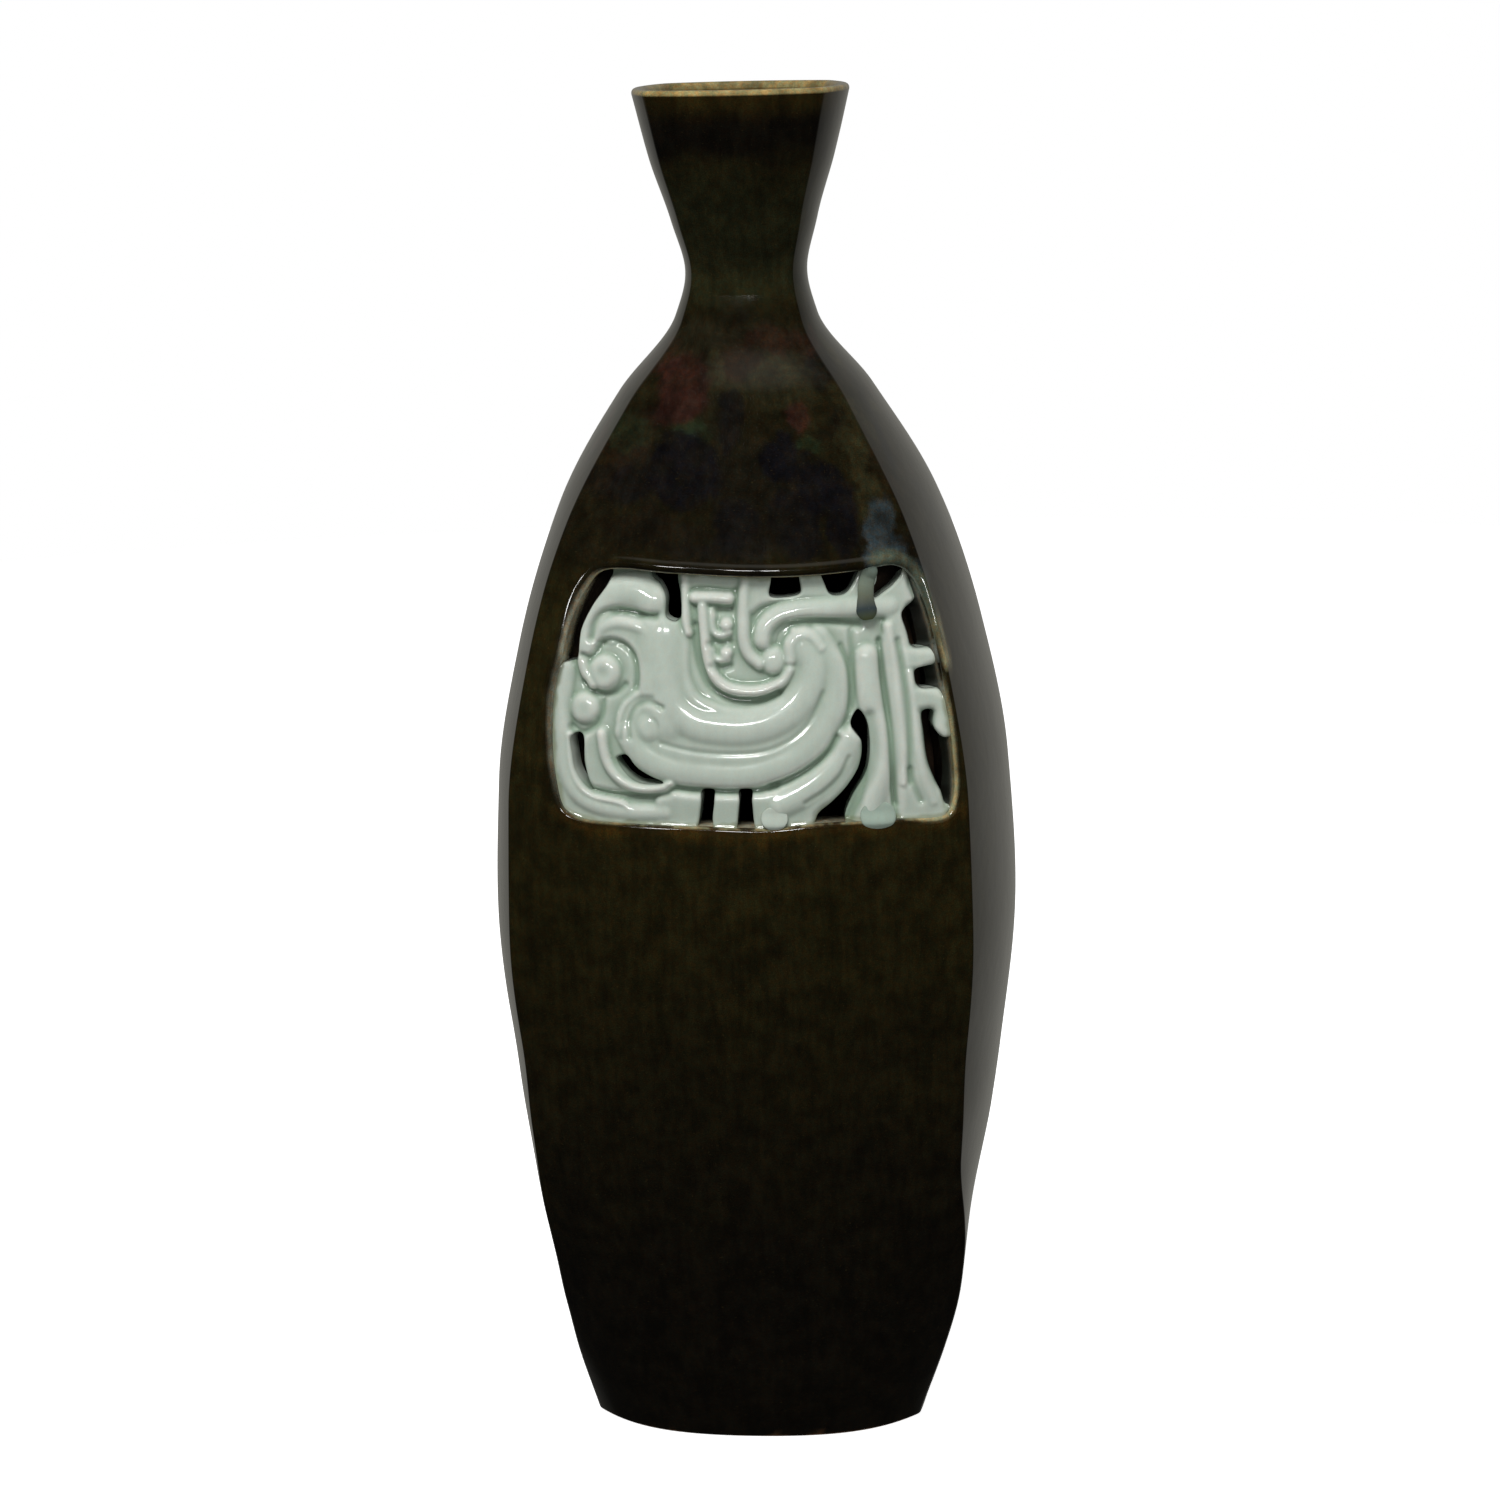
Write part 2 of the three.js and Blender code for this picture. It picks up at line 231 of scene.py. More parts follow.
PIERCINGS = [
    [(-41.5, 270), (-36.6, 268), (-37, 264), (-41.5, 257.5), (-44.8, 251), (-46.3, 242.6), (-49.5, 241.6),
     (-53, 241.5), (-52, 250), (-48, 262)],
    [(-24.5, 270), (-24.3, 265.6), (-21.8, 263.4), (-20.1, 260), (-19.9, 254.6), (-17, 253.3),
     (-15.8, 254.5), (-15.9, 260), (-16.8, 265), (-17, 270)],
    [(10.9, 270), (18.2, 270), (18.8, 265), (19.3, 261), (18, 260.2), (11, 259.8), (10.2, 260.6),
     (10.8, 265)],
    [(24.5, 270), (36.5, 270), (34.8, 264), (32.2, 260.4), (28, 260.2), (26.3, 263)],
    [(41.5, 270), (48, 270), (48.3, 265.5), (46, 262.3), (43, 260.2), (40.7, 259), (39.6, 260),
     (41.2, 263.6)],
    [(48.4, 254.3), (51, 256.5), (56, 260), (62, 252), (63, 243), (57, 244.7), (51.5, 245), (50, 249)],
    [(52.2, 238.6), (57, 239.6), (66, 241), (66, 233), (58.5, 233.4), (53, 234)],
    [(54.2, 227), (57, 227.2), (57.2, 222.8), (60, 219.6), (66, 221), (66, 201), (60.5, 201), (59, 205),
     (57.5, 208), (55.5, 213.5), (54.5, 221)],
    [(33.6, 224.5), (35.8, 228.4), (38, 225.6), (39, 219), (38, 211), (33.8, 204), (31.8, 199),
     (31.8, 193), (23, 193), (23.8, 199.3), (28, 203), (32.5, 207.5), (35.9, 213), (36.6, 219.6)],
    [(-9.5, 206.6), (-6, 206.6), (-5.8, 204), (-6.3, 199.6), (-6.5, 193), (-10.5, 193), (-10, 200),
     (-9.5, 204)],
    [(1.3, 206.6), (5, 206.6), (5.1, 204), (5.4, 199.6), (5.5, 193), (1.2, 193), (1.1, 200), (1.5, 204)],
    [(-34.5, 215.3), (-31.4, 216.2), (-28.5, 212.8), (-24, 210.2), (-20.5, 208.9), (-25, 208.4),
     (-29, 209.2), (-32.4, 211.8)],
    [(-47.9, 221), (-46, 221.9), (-44.5, 220.8), (-44.2, 214), (-43, 209.4), (-41.7, 206), (-44.4, 208),
     (-46.6, 211.6), (-47.5, 216)],
]

# The relief: each row is a height above the ground, the width of its rounded edge, and its outline.
MASSES = [
    # the rail along the top, and its posts
    (2.1, 2.2, [(1.4, 272), (1.3, 262), (2, 256), (4, 254.5), (8, 257), (14, 258.3), (26, 258.4),
                (40, 256), (46, 250), (49, 252), (50, 256), (52, 257.4), (50.6, 262), (49, 272)]),
    (1.6, 1.6, [(-17, 272), (-16, 265), (-15.6, 258), (-15.5, 252), (-13.8, 250.5), (-12.4, 254),
                (-12.2, 262), (1.2, 262.6), (1.6, 272)]),
    # crest
    (2.0, 3.0, [(-45.4, 242.8), (-46.8, 248), (-45, 254), (-41.5, 260), (-37.5, 265.4), (-32, 266.8),
                (-26, 266.4), (-21.6, 264), (-19.4, 259.5), (-19.4, 254.6), (-24, 254.6), (-30, 255.5),
                (-35, 255.6), (-39, 253.8), (-41, 250), (-41.7, 246), (-42.8, 242.8)]),
    # head, neck, breast and body
    (1.9, 2.6, [(-41.5, 248), (-40, 252), (-36, 254.4), (-28, 254.6), (-21, 255.4), (-16, 253.4),
                (-13.2, 249), (-12.8, 243), (-12.2, 238), (-10, 233.8), (-6, 231.6), (-2, 230.4),
                (3, 230), (8, 230.8), (12.8, 233), (15, 237), (15.8, 242), (16, 247), (18, 250.4),
                (21.5, 251.4), (25.5, 250), (29, 246.6), (31.4, 242), (32.4, 236), (32, 230), (30.6, 225),
                (28.8, 219.5), (24.5, 215), (17, 211), (10, 208.5), (3, 207.3), (-10, 207.6),
                (-20, 208.8), (-26, 211.5), (-31.4, 216), (-34.2, 221), (-35, 226), (-33, 231),
                (-29.6, 234), (-28, 238), (-29.2, 243), (-33, 246.4), (-37, 246.4)]),
    # left frame, running along the bottom
    (1.7, 1.6, [(-58, 246), (-50, 243.4), (-47.2, 240.6), (-47.3, 234), (-48, 226), (-48, 219),
                (-47.2, 212.5), (-45, 207.4), (-41.5, 204.6), (-37, 203.8), (-33, 203.2), (-30, 201.6),
                (-28, 199.4), (-20, 199), (-16, 196), (-16, 190), (-58, 190)]),
    # ground between the left slot and the loop
    (1.25, 1.6, [(-44.6, 221), (-44, 213.5), (-42, 207.4), (-38, 206.4), (-30, 205.4), (-22, 204.6),
                 (-22, 209), (-31, 212), (-36, 216), (-37, 224), (-41, 224)]),
    # the feet and the strip under the body
    (1.9, 2.2, [(-22, 206.8), (-12, 206.6), (0, 206.2), (8, 206.4), (14, 204), (16, 190), (-21, 190)]),
    # leaf
    (1.7, 2.4, [(7, 206.2), (12, 207.4), (18, 210.2), (24, 214.2), (28.2, 218.6), (30.6, 222.4),
                (33, 224.2), (35, 222), (36.6, 218), (35.6, 213), (32.8, 208), (28.4, 203.4), (24, 200),
                (21, 190), (6, 190)]),
    # two fluted pillars
    (2.0, 2.6, [(35.2, 242.6), (35.7, 245.4), (37.8, 246.6), (40.2, 246), (41.4, 243), (42.2, 237),
                (43.3, 229), (44, 221), (44.4, 212), (45.4, 203), (46.4, 190), (30, 190), (34.2, 199.5),
                (37.4, 206), (39.6, 212), (40.6, 218.6), (38.8, 225), (35.7, 229.6), (35.2, 236)]),
    (2.2, 2.6, [(43.2, 251), (45.6, 256), (49, 255.6), (50.4, 249), (51.6, 243), (52.4, 236), (53.6, 228),
                (54.4, 220), (55.4, 213.4), (57.4, 208), (59.8, 203.5), (60.6, 190), (46.6, 190),
                (46.2, 203), (45.6, 213), (45, 222), (44.2, 231), (42.8, 240), (42, 246)]),
    # teeth on the right
    (2.4, 2.6, [(47, 246.4), (52, 245.4), (58, 244.8), (66, 243.6), (66, 239.6), (58, 239.6), (52, 238.2),
                (48, 238.6)]),
    (2.4, 2.8, [(50, 234.6), (58, 234), (60.4, 232.8), (66, 230), (66, 219.4), (60, 219), (57, 221.6),
                (56.4, 227.2), (51, 227.2)]),
    (1.3, 1.4, [(59.6, 204), (59.2, 200), (58, 196), (66, 196), (66, 204)]),
]

# Rounded cords and tubes of clay: height, half width, and the line they follow.
BEADS = [
    # neck and breast, then the inner and outer bands of the body
    (3.0, 7.6, [(-22, 249), (-21.4, 241), (-21, 233), (-19.4, 227)]),
    (3.05, 5.4, [(-20.5, 238), (-17.8, 230), (-12, 225.6), (-4, 224), (4, 223.9), (12, 226),
                 (18.4, 230.4), (22.4, 236.6), (22.8, 242), (20, 246.4)]),
    (3.1, 2.3, [(16.4, 243), (16.6, 247), (19, 249.4), (22.4, 249), (25, 246)]),
    (2.45, 4.3, [(-31, 223), (-27, 217), (-19, 213), (-9, 211.5), (3, 211.2), (12, 213.2), (19.5, 217.2),
                 (25, 222.6), (28.4, 229), (29, 236), (27.6, 242.4), (24, 248)]),
    # crest and brow
    (3.1, 5.0, [(-44.4, 246.4), (-43, 252), (-40.2, 257.2), (-35.2, 261), (-29, 261.4), (-24.2, 259.2)]),
    (2.7, 1.9, [(-44.6, 248), (-44.8, 243.6), (-43.8, 239.4), (-41.6, 235.8)]),
    (2.5, 2.4, [(-41, 247.8), (-39.6, 250.8), (-35.4, 252.6), (-29.6, 252.2), (-25, 250.4)]),
    # leaf, left frame and pillars
    (2.65, 4.2, [(13, 202), (20, 205.4), (26.6, 210.2), (31.2, 216), (33, 220.6)]),
    (2.4, 2.9, [(-50.4, 240), (-50.6, 230), (-50.6, 220), (-49.4, 211), (-46, 204.6), (-40, 201.4),
                (-30, 200.2), (-20, 200.4)]),
    (2.9, 3.8, [(38.4, 242.8), (38.6, 236), (39.6, 229), (41.6, 221), (41.8, 212), (40.6, 205),
                (38.6, 198)]),
    (2.8, 1.8, [(44.6, 251), (46, 241), (47.2, 230), (48.2, 219), (48.4, 208)]),
    (2.5, 2.0, [(50, 238), (51.4, 228), (52.4, 218), (54, 209), (56.6, 202)]),
    # loop on the lower left, and the thin ridge along the frame
    (2.6, 1.6, [(-38.8, 222), (-37.8, 216.4), (-36, 212.4), (-33, 209.4), (-29.4, 207.7), (-25, 207.1),
                (-21, 207.5), (-18.6, 208.6)]),
    (2.3, 1.1, [(-48.4, 221.6), (-48, 215), (-46.6, 209.6), (-44, 206), (-40.6, 204.4), (-36, 203.6),
                (-32.6, 202.8), (-30.4, 201.2)]),
    # bar, stem and hooks
    (3.1, 1.9, [(-11.4, 260), (-6, 260), (-1.6, 259.7)]),
    (2.9, 1.7, [(-9.2, 258), (-8.5, 250), (-7.4, 243), (-5.4, 238.2), (-2.2, 235.6), (2.2, 234.5),
                (7, 234.4), (11, 235.4), (14.4, 237.4), (16.2, 240.2)]),
    (2.2, 1.5, [(-14.4, 266), (-14.2, 260), (-14, 253), (-13.2, 250.4)]),
    (2.0, 1.3, [(-6.5, 256.4), (-6.4, 252), (-5.4, 250.2), (-3.4, 249.7), (-1.6, 250.4)]),
    (2.0, 1.3, [(-6.9, 245.8), (-6, 243.8), (-4, 243), (-2, 243.3)]),
    # upright band, ending in a ball, and the tail above it
    (2.7, 2.1, [(3.4, 267), (3, 260), (2.8, 254), (3, 248.6), (4.4, 244.6), (7.4, 242)]),
    (2.9, 3.6, [(45, 256.6), (34, 257), (24, 256.6), (17, 255.8), (12.4, 254.2), (9.6, 251.4),
                (8.8, 248.6)]),
    (2.3, 1.5, [(17.6, 250.2), (20.6, 250.6), (24.2, 248.6), (26.4, 244)]),
]

# Round bosses: x, z, radius, height at the rim, and how far the middle is pressed in.
BOSSES = [
    (-38.2, 239.0, 5.2, 3.1, 0.7),
    (-44.0, 229.0, 4.6, 2.6, 0.2),
    (-24.6, 224.4, 4.5, 2.9, 0.1),
    (-2.2, 252.5, 2.2, 2.6, 0.0),
    (-2.2, 244.8, 2.0, 2.5, 0.0),
    (11.6, 242.6, 4.2, 2.8, 0.0),
]

# Cut lines: depth, half width, and the line they follow.
GROOVES = [
    (1.3, 1.0, [(-41.8, 248.6), (-41, 252.4), (-39, 255), (-35.6, 256.2), (-31, 255.9), (-27, 255),
                (-23, 254.6)]),
    (1.2, 0.9, [(-39.4, 247), (-36.4, 247.9), (-33, 247.2), (-30.2, 245), (-28.8, 241.8), (-28.3, 238),
                (-28.6, 235)]),
    (1.0, 0.7, [(-44.4, 243.8), (-42.6, 243.2), (-41, 244), (-40, 245.6)]),
    (0.9, 0.9, [(-44, 236.2), (-41.6, 233.6), (-38.4, 232.8), (-34.8, 233.4), (-32, 235.6)]),
    (0.8, 0.8, [(-47.8, 223.8), (-44.6, 222.1), (-41.2, 223.6), (-38.8, 227), (-38.4, 231)]),
    (0.5, 0.8, [(-33, 221), (-32.4, 226), (-30.6, 230), (-27.4, 232.2), (-23.6, 232.6)]),
    (0.8, 0.8, [(-30.2, 221.6), (-30.4, 226), (-28.4, 230), (-24.6, 231.4), (-20.6, 230)]),
    (1.3, 1.1, [(-11.6, 252), (-10.9, 245), (-9.4, 239.4), (-6.8, 235.2), (-2, 232.4), (3, 231.6),
                (8, 232), (12.6, 233.8)]),
    (0.8, 0.9, [(-7, 247.4), (-4, 247.2), (-1, 247.6)]),
    (0.8, 0.9, [(-6.4, 241.2), (-4, 240.4), (-1, 241.2)]),
    (0.9, 0.9, [(-5.2, 256.6), (-3, 256.5), (-1, 256.5)]),
    (0.4, 0.7, [(-21, 220), (-12, 218), (0, 217.2), (10, 218.2), (17.6, 221.8), (22.6, 227),
                (25.6, 233.6)]),
    (1.3, 1.0, [(11, 247.4), (11.6, 250.2), (13.6, 252.2), (17, 253.2), (22, 253.5), (30, 252.6),
                (36, 251.4)]),
    (0.7, 0.9, [(30.8, 246), (33, 241), (34.2, 235), (33.6, 229), (31.8, 223.6)]),
    (1.1, 0.9, [(-18, 207.4), (-10, 206.8), (0, 206.5), (8, 206.8), (12, 208)]),
    (1.2, 1.0, [(10.4, 207.8), (16, 209.8), (22, 213), (27, 217.2), (29.6, 221)]),
    (0.5, 0.7, [(20.4, 203.4), (26, 206.8), (30.4, 211), (32.8, 215.8)]),
    (0.9, 0.9, [(-41, 205.9), (-36, 205), (-30, 204.9), (-24, 205.2), (-19, 206)]),
    (1.5, 0.8, [(41.9, 247), (42.5, 240), (43.7, 230), (44.6, 221), (45.1, 212), (45.8, 202)]),
    (0.9, 0.9, [(47, 247), (48.6, 238), (49.8, 228), (50.2, 218), (50, 208)]),
    (0.9, 0.9, [(50.2, 211.4), (51.3, 207), (53, 202.6)]),
    (1.4, 1.9, [(38.8, 226.6), (40, 219), (38.8, 211), (34.6, 204), (32.6, 198)]),
    (0.8, 1.0, [(33.8, 250), (34, 242), (33.9, 235), (33.6, 229)]),
]


class Raster:
    """A grid of points over part of the front face."""

    def __init__(self, x_low, x_high, z_low, z_high, step):
        self.step = step
        self.x = np.arange(x_low, x_high + step / 2, step)
        self.z = np.arange(z_low, z_high + step / 2, step)
        self.X, self.Z = np.meshgrid(self.x, self.z)

    def near(self, line, margin):
        """The slices of the grid within a margin of a line."""
        low, high = line.min(0) - margin, line.max(0) + margin
        i = np.searchsorted(self.z, [low[1], high[1]])
        j = np.searchsorted(self.x, [low[0], high[0]])
        return np.s_[i[0]:max(i[1], i[0] + 1), j[0]:max(j[1], j[0] + 1)]

    def distance(self, line, where=np.s_[:, :], closed=False):
        return line_distance(line, self.X[where], self.Z[where], closed)

    def sample(self, field, x, z):
        """The field at any points, between its grid values."""
        u = np.clip((np.asarray(x) - self.x[0]) / self.step, 0, len(self.x) - 1.001)
        w = np.clip((np.asarray(z) - self.z[0]) / self.step, 0, len(self.z) - 1.001)
        j, i = u.astype(int), w.astype(int)
        fu, fw = u - j, w - i
        low = field[i, j] * (1 - fu) + field[i, j + 1] * fu
        high = field[i + 1, j] * (1 - fu) + field[i + 1, j + 1] * fu
        return low * (1 - fw) + high * fw


def line_distance(line, X, Z, closed):
    """Distance from a line. For a closed one it is positive inside and negative outside."""
    ends = np.vstack([line, line[:1]]) if closed else line
    best = np.full(X.shape, 1e12)
    inside = np.zeros(X.shape, bool)
    for (ax, az), (bx, bz) in zip(ends[:-1], ends[1:]):
        dx, dz = bx - ax, bz - az
        t = np.clip(((X - ax) * dx + (Z - az) * dz) / max(dx * dx + dz * dz, 1e-12), 0, 1)
        best = np.minimum(best, (X - ax - t * dx) ** 2 + (Z - az - t * dz) ** 2)
        if closed and az != bz:
            inside ^= ((az > Z) != (bz > Z)) & (X < ax + (Z - az) / dz * dx)
    best = np.sqrt(best)
    return np.where(inside, best, -best) if closed else best


def inside_loops(loops, points):
    """Which (x, z) points lie inside an odd number of the closed loops."""
    inside = np.zeros(len(points), bool)
    for loop in loops:
        inside ^= line_distance(loop, *points.T, True) > 0
    return inside


def blurred(field, radius):
    """The field softened over a radius, in grid steps."""
    reach = int(3 * radius) + 1
    kernel = bell(np.arange(-reach, reach + 1), 0, radius * math.sqrt(2))
    kernel /= kernel.sum()
    for axis in (0, 1):
        padded = np.pad(field, [(reach, reach) if a == axis else (0, 0) for a in (0, 1)], mode="edge")
        field = np.apply_along_axis(lambda row: np.convolve(row, kernel, "valid"), axis, padded)
    return field


def soft_max(a, b, width):
    """The greater of two fields, with a fillet of this width where they cross."""
    share = np.clip(0.5 + 0.5 * (a - b) / width, 0, 1)
    return b * (1 - share) + a * share + width * share * (1 - share)


# ---- Building closed meshes ----

# The colour of what hardly shows, such as the inside of the walls.
UNSEEN = [0.01, 0.008, 0.005]


class Solid:
    """A closed mesh in design millimetres, gathered from parts that meet at shared points."""

    def __init__(self):
        self.points, self.paints, self.faces, self.corner_normals = [], [], [], []
        self.count = 0

    def part(self, points, faces, normals=None, paint=None):
        """Adds triangles. With no normals given, this part is smooth in itself."""
        points = np.asarray(points, float).reshape(-1, 3)
        if normals is None:
            normals = smooth_normals(points, faces)
        if paint is None:
            paint = UNSEEN
        self.points.append(points)
        self.paints.append(np.broadcast_to(np.reshape(paint, (-1, 3)), points.shape))
        self.faces.append(faces + self.count)
        self.corner_normals.append(np.reshape(normals, (-1, 3))[faces])
        self.count += len(points)

    def fan(self, ring, centre, down, colour):
        """Closes a ring with triangles that meet at its centre."""
        count = len(ring)
        faces = np.array([(i, (i + 1) % count, count) for i in range(count)])
        self.part(np.vstack([ring, centre]), faces[:, ::-1] if down else faces, None, colour)

    def build(self, name, node, slot, material):
        """The mesh as a piece in the scene, in place of a CAD node if one is named."""
        points, faces = np.vstack(self.points), np.vstack(self.faces)
        normals, paint = np.vstack(self.corner_normals), np.vstack(self.paints)
        key = np.round(points * 1e4).astype(np.int64)
        _, first, where = np.unique(key, axis=0, return_index=True, return_inverse=True)
        faces = where.reshape(-1)[faces]
        a, b, c = faces.T
        keep = (a != b) & (b != c) & (c != a)
        faces, normals = faces[keep], normals[keep].reshape(-1, 3)
        mesh = bpy.data.meshes.new(name)
        mesh.from_pydata((points[first] * MM + ORIGIN).tolist(), [], faces.tolist())
        mesh.polygons.foreach_set("use_smooth", np.ones(len(faces), bool))
        split_where_normals_differ(mesh, normals)
        mesh.normals_split_custom_set(normals.tolist())
        shades = mesh.attributes.new("paint", "FLOAT_COLOR", "POINT")
        colours = np.column_stack([paint[first], np.ones(len(first))])
        shades.data.foreach_set("color", colours.astype(np.float32).ravel())
        mesh.materials.append(material)
        piece = bpy.data.objects.new(name, mesh)
        bpy.context.scene.collection.objects.link(piece)
        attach(piece, "root")
        if node:
            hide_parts(node)


def split_where_normals_differ(mesh, normals):
    """Marks the edges across which the surface is meant to look sharp."""
    edge = np.zeros(len(mesh.loops), int)
    mesh.loops.foreach_get("edge_index", edge)
    order = np.argsort(edge, kind="stable")
    pairs = np.flatnonzero(edge[order][:-1] == edge[order][1:])
    first, second = order[pairs], order[pairs + 1]
    following = np.arange(len(edge)).reshape(-1, 3)[:, [1, 2, 0]].ravel()
    same = (normals[first] * normals[following[second]]).sum(1)
    other = (normals[following[first]] * normals[second]).sum(1)
    sharp = np.zeros(len(mesh.edges), bool)
    sharp[edge[first]] = np.minimum(same, other) < 0.999
    marks = mesh.attributes.new("sharp_edge", "BOOLEAN", "EDGE")
    marks.data.foreach_set("value", sharp)


def unit(vectors):
    return vectors / np.maximum(np.linalg.norm(vectors, axis=-1, keepdims=True), 1e-12)


def smooth_normals(points, faces):
    """The direction of the surface at each point, in the same array shape as the points."""
    flat_points = points.reshape(-1, 3)
    a, b, c = (flat_points[faces[:, n]] for n in range(3))
    total = np.zeros_like(flat_points)
    for column in range(3):
        np.add.at(total, faces[:, column], np.cross(b - a, c - a))
    return unit(total).reshape(points.shape)


def grid_faces(rows, columns, wrap=False, flip=False):
    """Triangles over a grid of points, wound so that rows x columns faces outwards."""
    i, j = np.meshgrid(np.arange(rows - 1), np.arange(columns if wrap else columns - 1), indexing="ij")
    i, j = i.ravel(), j.ravel()
    k = (j + 1) % columns
    a, b, c, d = i * columns + j, i * columns + k, (i + 1) * columns + k, (i + 1) * columns + j
    faces = np.vstack([np.stack([a, b, c], 1), np.stack([a, c, d], 1)])
    return faces[:, ::-1] if flip else faces


def facing(points, faces, wanted):
    """These faces and their normals, turned over if the first row's normals go against wanted."""
    normals = smooth_normals(points, faces)
    if (normals[0] * wanted).sum() < 0:
        return faces[:, ::-1], -normals
    return faces, normals


def triangulated(points, loops):
    """Delaunay triangles over (x, z) points. Each loop is the numbers of the points round an
    outline that no triangle crosses."""
    edges = [(int(a), int(b)) for loop in loops for a, b in zip(loop, np.roll(loop, -1))]
    found = delaunay_2d_cdt([Vector(p) for p in points.tolist()], edges, [], 0, 1e-7, True)
    source = np.array([min(ids) for ids in found[3]])
    faces = source[np.array(found[2])]
    a, b, c = (points[faces[:, n]] for n in range(3))
    area = np.cross(b - a, c - a)
    faces[area < 0] = faces[area < 0][:, ::-1]
    return faces[np.abs(area) > 1e-9]


def triangulated_round(hole, others):
    """Points (x, z) of a hole's outline and others, and the triangles over them outside the hole."""
    plane = np.vstack([hole, others])
    faces = triangulated(plane, [np.arange(len(hole))])
    return plane, faces[line_distance(hole, *plane[faces].mean(1).T, True) < 0]


# ---- The outside of the vase ----

wall_window = Raster(-72, 80, 178, 288, 0.5)
window_distance = wall_window.distance(WINDOW, closed=True)

# Runs of thick glaze on the wall: height, half width, whether it is pale, and the line it follows.
WALL_RUNS = [
    (0.6, 2.5, True, [(40.6, 269.8), (44.6, 269.8), (48.6, 267.4), (52, 263.2), (55.6, 257.6),
                      (58.7, 250.6), (60.8, 244.6), (62, 240.8)]),
    (0.45, 4.2, False, [(38.5, 290), (40.4, 283), (41.2, 277), (41, 272), (40.2, 268.4), (39.6, 266)]),
]
run_height = np.zeros(wall_window.X.shape)
run_share = np.zeros(wall_window.X.shape)
for top, half, pale, points in WALL_RUNS:
    apart = wall_window.distance(spline(points, False, 1)) / half
    run_height = np.maximum(run_height, top * np.sqrt(np.clip(1 - apart**2, 0, 1)))
    if pale:
        run_share = np.maximum(run_share, np.clip(1.25 - apart, 0, 0.5) * 2)
run_height *= fade(268, 284, wall_window.Z)
run_share *= fade(268, 288, wall_window.Z)


def window_gap(x, z):
    """How far outside the window a point of the front lies, or just a long way off the raster."""
    low, high, long_way = 180, 286, 20
    return np.where((z > low) & (z < high), -wall_window.sample(window_distance, x, z), long_way)


def lip_radius(z):
    """How thickly the glaze rounds the window's edge: fat along the top, thin at the bottom."""
    return 1.5 + 1.5 * ease(250, 264, z) - 0.5 * fade(199, 206, z)


def lip_swell(x, z, gap):
    """The roll of glaze that stands proud of the wall round the window's edge."""
    top = ease(256, 266, z) * fade(36, 44, np.abs(x))
    return bell(gap, 2.7, 1.15) * (0.12 + 0.95 * top)


def rounding(gap, radius):
    """How far a rounded edge drops away, at this distance from the edge."""
    left = np.clip(radius - gap, 0, radius)
    return radius - np.sqrt(np.maximum(radius * radius - left * left, 0))


def waviness(points):
    """The small unevenness of a hand-built wall."""
    low = noise(points, 46, 3) * 0.22 + noise(points, 19, 5) * 0.07
    return low * ease(2, 30, points[:, 2]) * (1 - 0.5 * ease(385, 399, points[:, 2]))


def skin(side, v, z):
    """Points on the outside of the vase. v is -1 to 1 across the side's face."""
    v, z = np.broadcast_arrays(np.asarray(v, float), np.asarray(z, float))
    points, out = section(v, *circle_at(z), smooth_through(ARRIS, z))
    flat = np.column_stack([points, z])
    foot = fade(0, 36, z)
    swell = waviness(turned(flat, side)) - rounding(z, FOOT_ROUND)
    swell = swell - 0.75 * bell(z, 345, 9) + 0.6 * bell(z, 363, 13) + 0.8 * foot
    if side == 0:
        x = flat[:, 0]
        gap = window_gap(x, z)
        edge = rounding(np.maximum(gap, 0), lip_radius(z))
        swell = swell + lip_swell(x, z, gap) - edge + wall_window.sample(run_height, x, z)
    flat[:, :2] += out * swell[:, None]
    placed = turned(flat, side)
    placed[:, 0] += 0.5 * bell(z, 348, 18) - 0.4 * bell(z, 302, 20) - 0.6 * foot
    return footed(placed)


def footed(points):
    """Towards the foot the front and back bow more than the sides, so the corners lie further
    out and further back."""
    x, y, z = points.T
    half = smooth_through(PROFILE, z)
    growth = np.where(x > 0, smooth_through(GROWTH_RIGHT, z), smooth_through(GROWTH_LEFT, z))
    back_off = y / half * (1 + 2 * smooth_through(BOW, z))
    wider = 1 + growth * (1.4 * back_off**2 - 0.4)
    shallower = 1 - FOOT_FLATTENING * fade(-15, 115, z) * (x / half) ** 4
    return np.column_stack([x * wider, y * shallower, z])


def skin_normals(side, v, z):
    """The outward direction of the outside, from points a little to each side of it."""
    aside, span = 0.0025, 0.05
    across = skin(side, v + aside, z) - skin(side, v - aside, z)
    up = skin(side, v, z + span) - skin(side, v, np.maximum(z - span, 0))
    return unit(np.cross(across, up))


def face_frame(x, z):
    """A point of the front face with no glaze on it, the level direction out of it, and the
    directions across, up and square out."""
    radius, centre = circle_at(z)
    angle = np.arcsin(np.clip(x / radius, -1, 1))
    sine, cosine = np.sin(angle), np.cos(angle)
    point = np.stack([radius * sine, centre - radius * cosine, z + 0 * x], -1)
    level = np.stack([sine, -cosine, 0 * x], -1)
    across = np.stack([cosine, sine, 0 * x], -1)
    span = 0.5
    (radius_above, centre_above), (radius_below, centre_below) = circle_at(z + span), circle_at(z - span)
    rise = (radius_above - radius_below - (centre_above - centre_below) * cosine) / (2 * span)
    up = unit(np.stack([sine * rise, -cosine * rise, np.ones_like(rise)], -1))
    return point, level, across, up, unit(np.cross(across, up))


def in_wall(x, z, depth):
    """The point at this depth in the front wall, below the outside at (x, z)."""
    point, level = face_frame(x, z)[:2]
    return point + level * (waviness(point) - depth)[:, None]


# ---- The glaze's colours on the outside ----


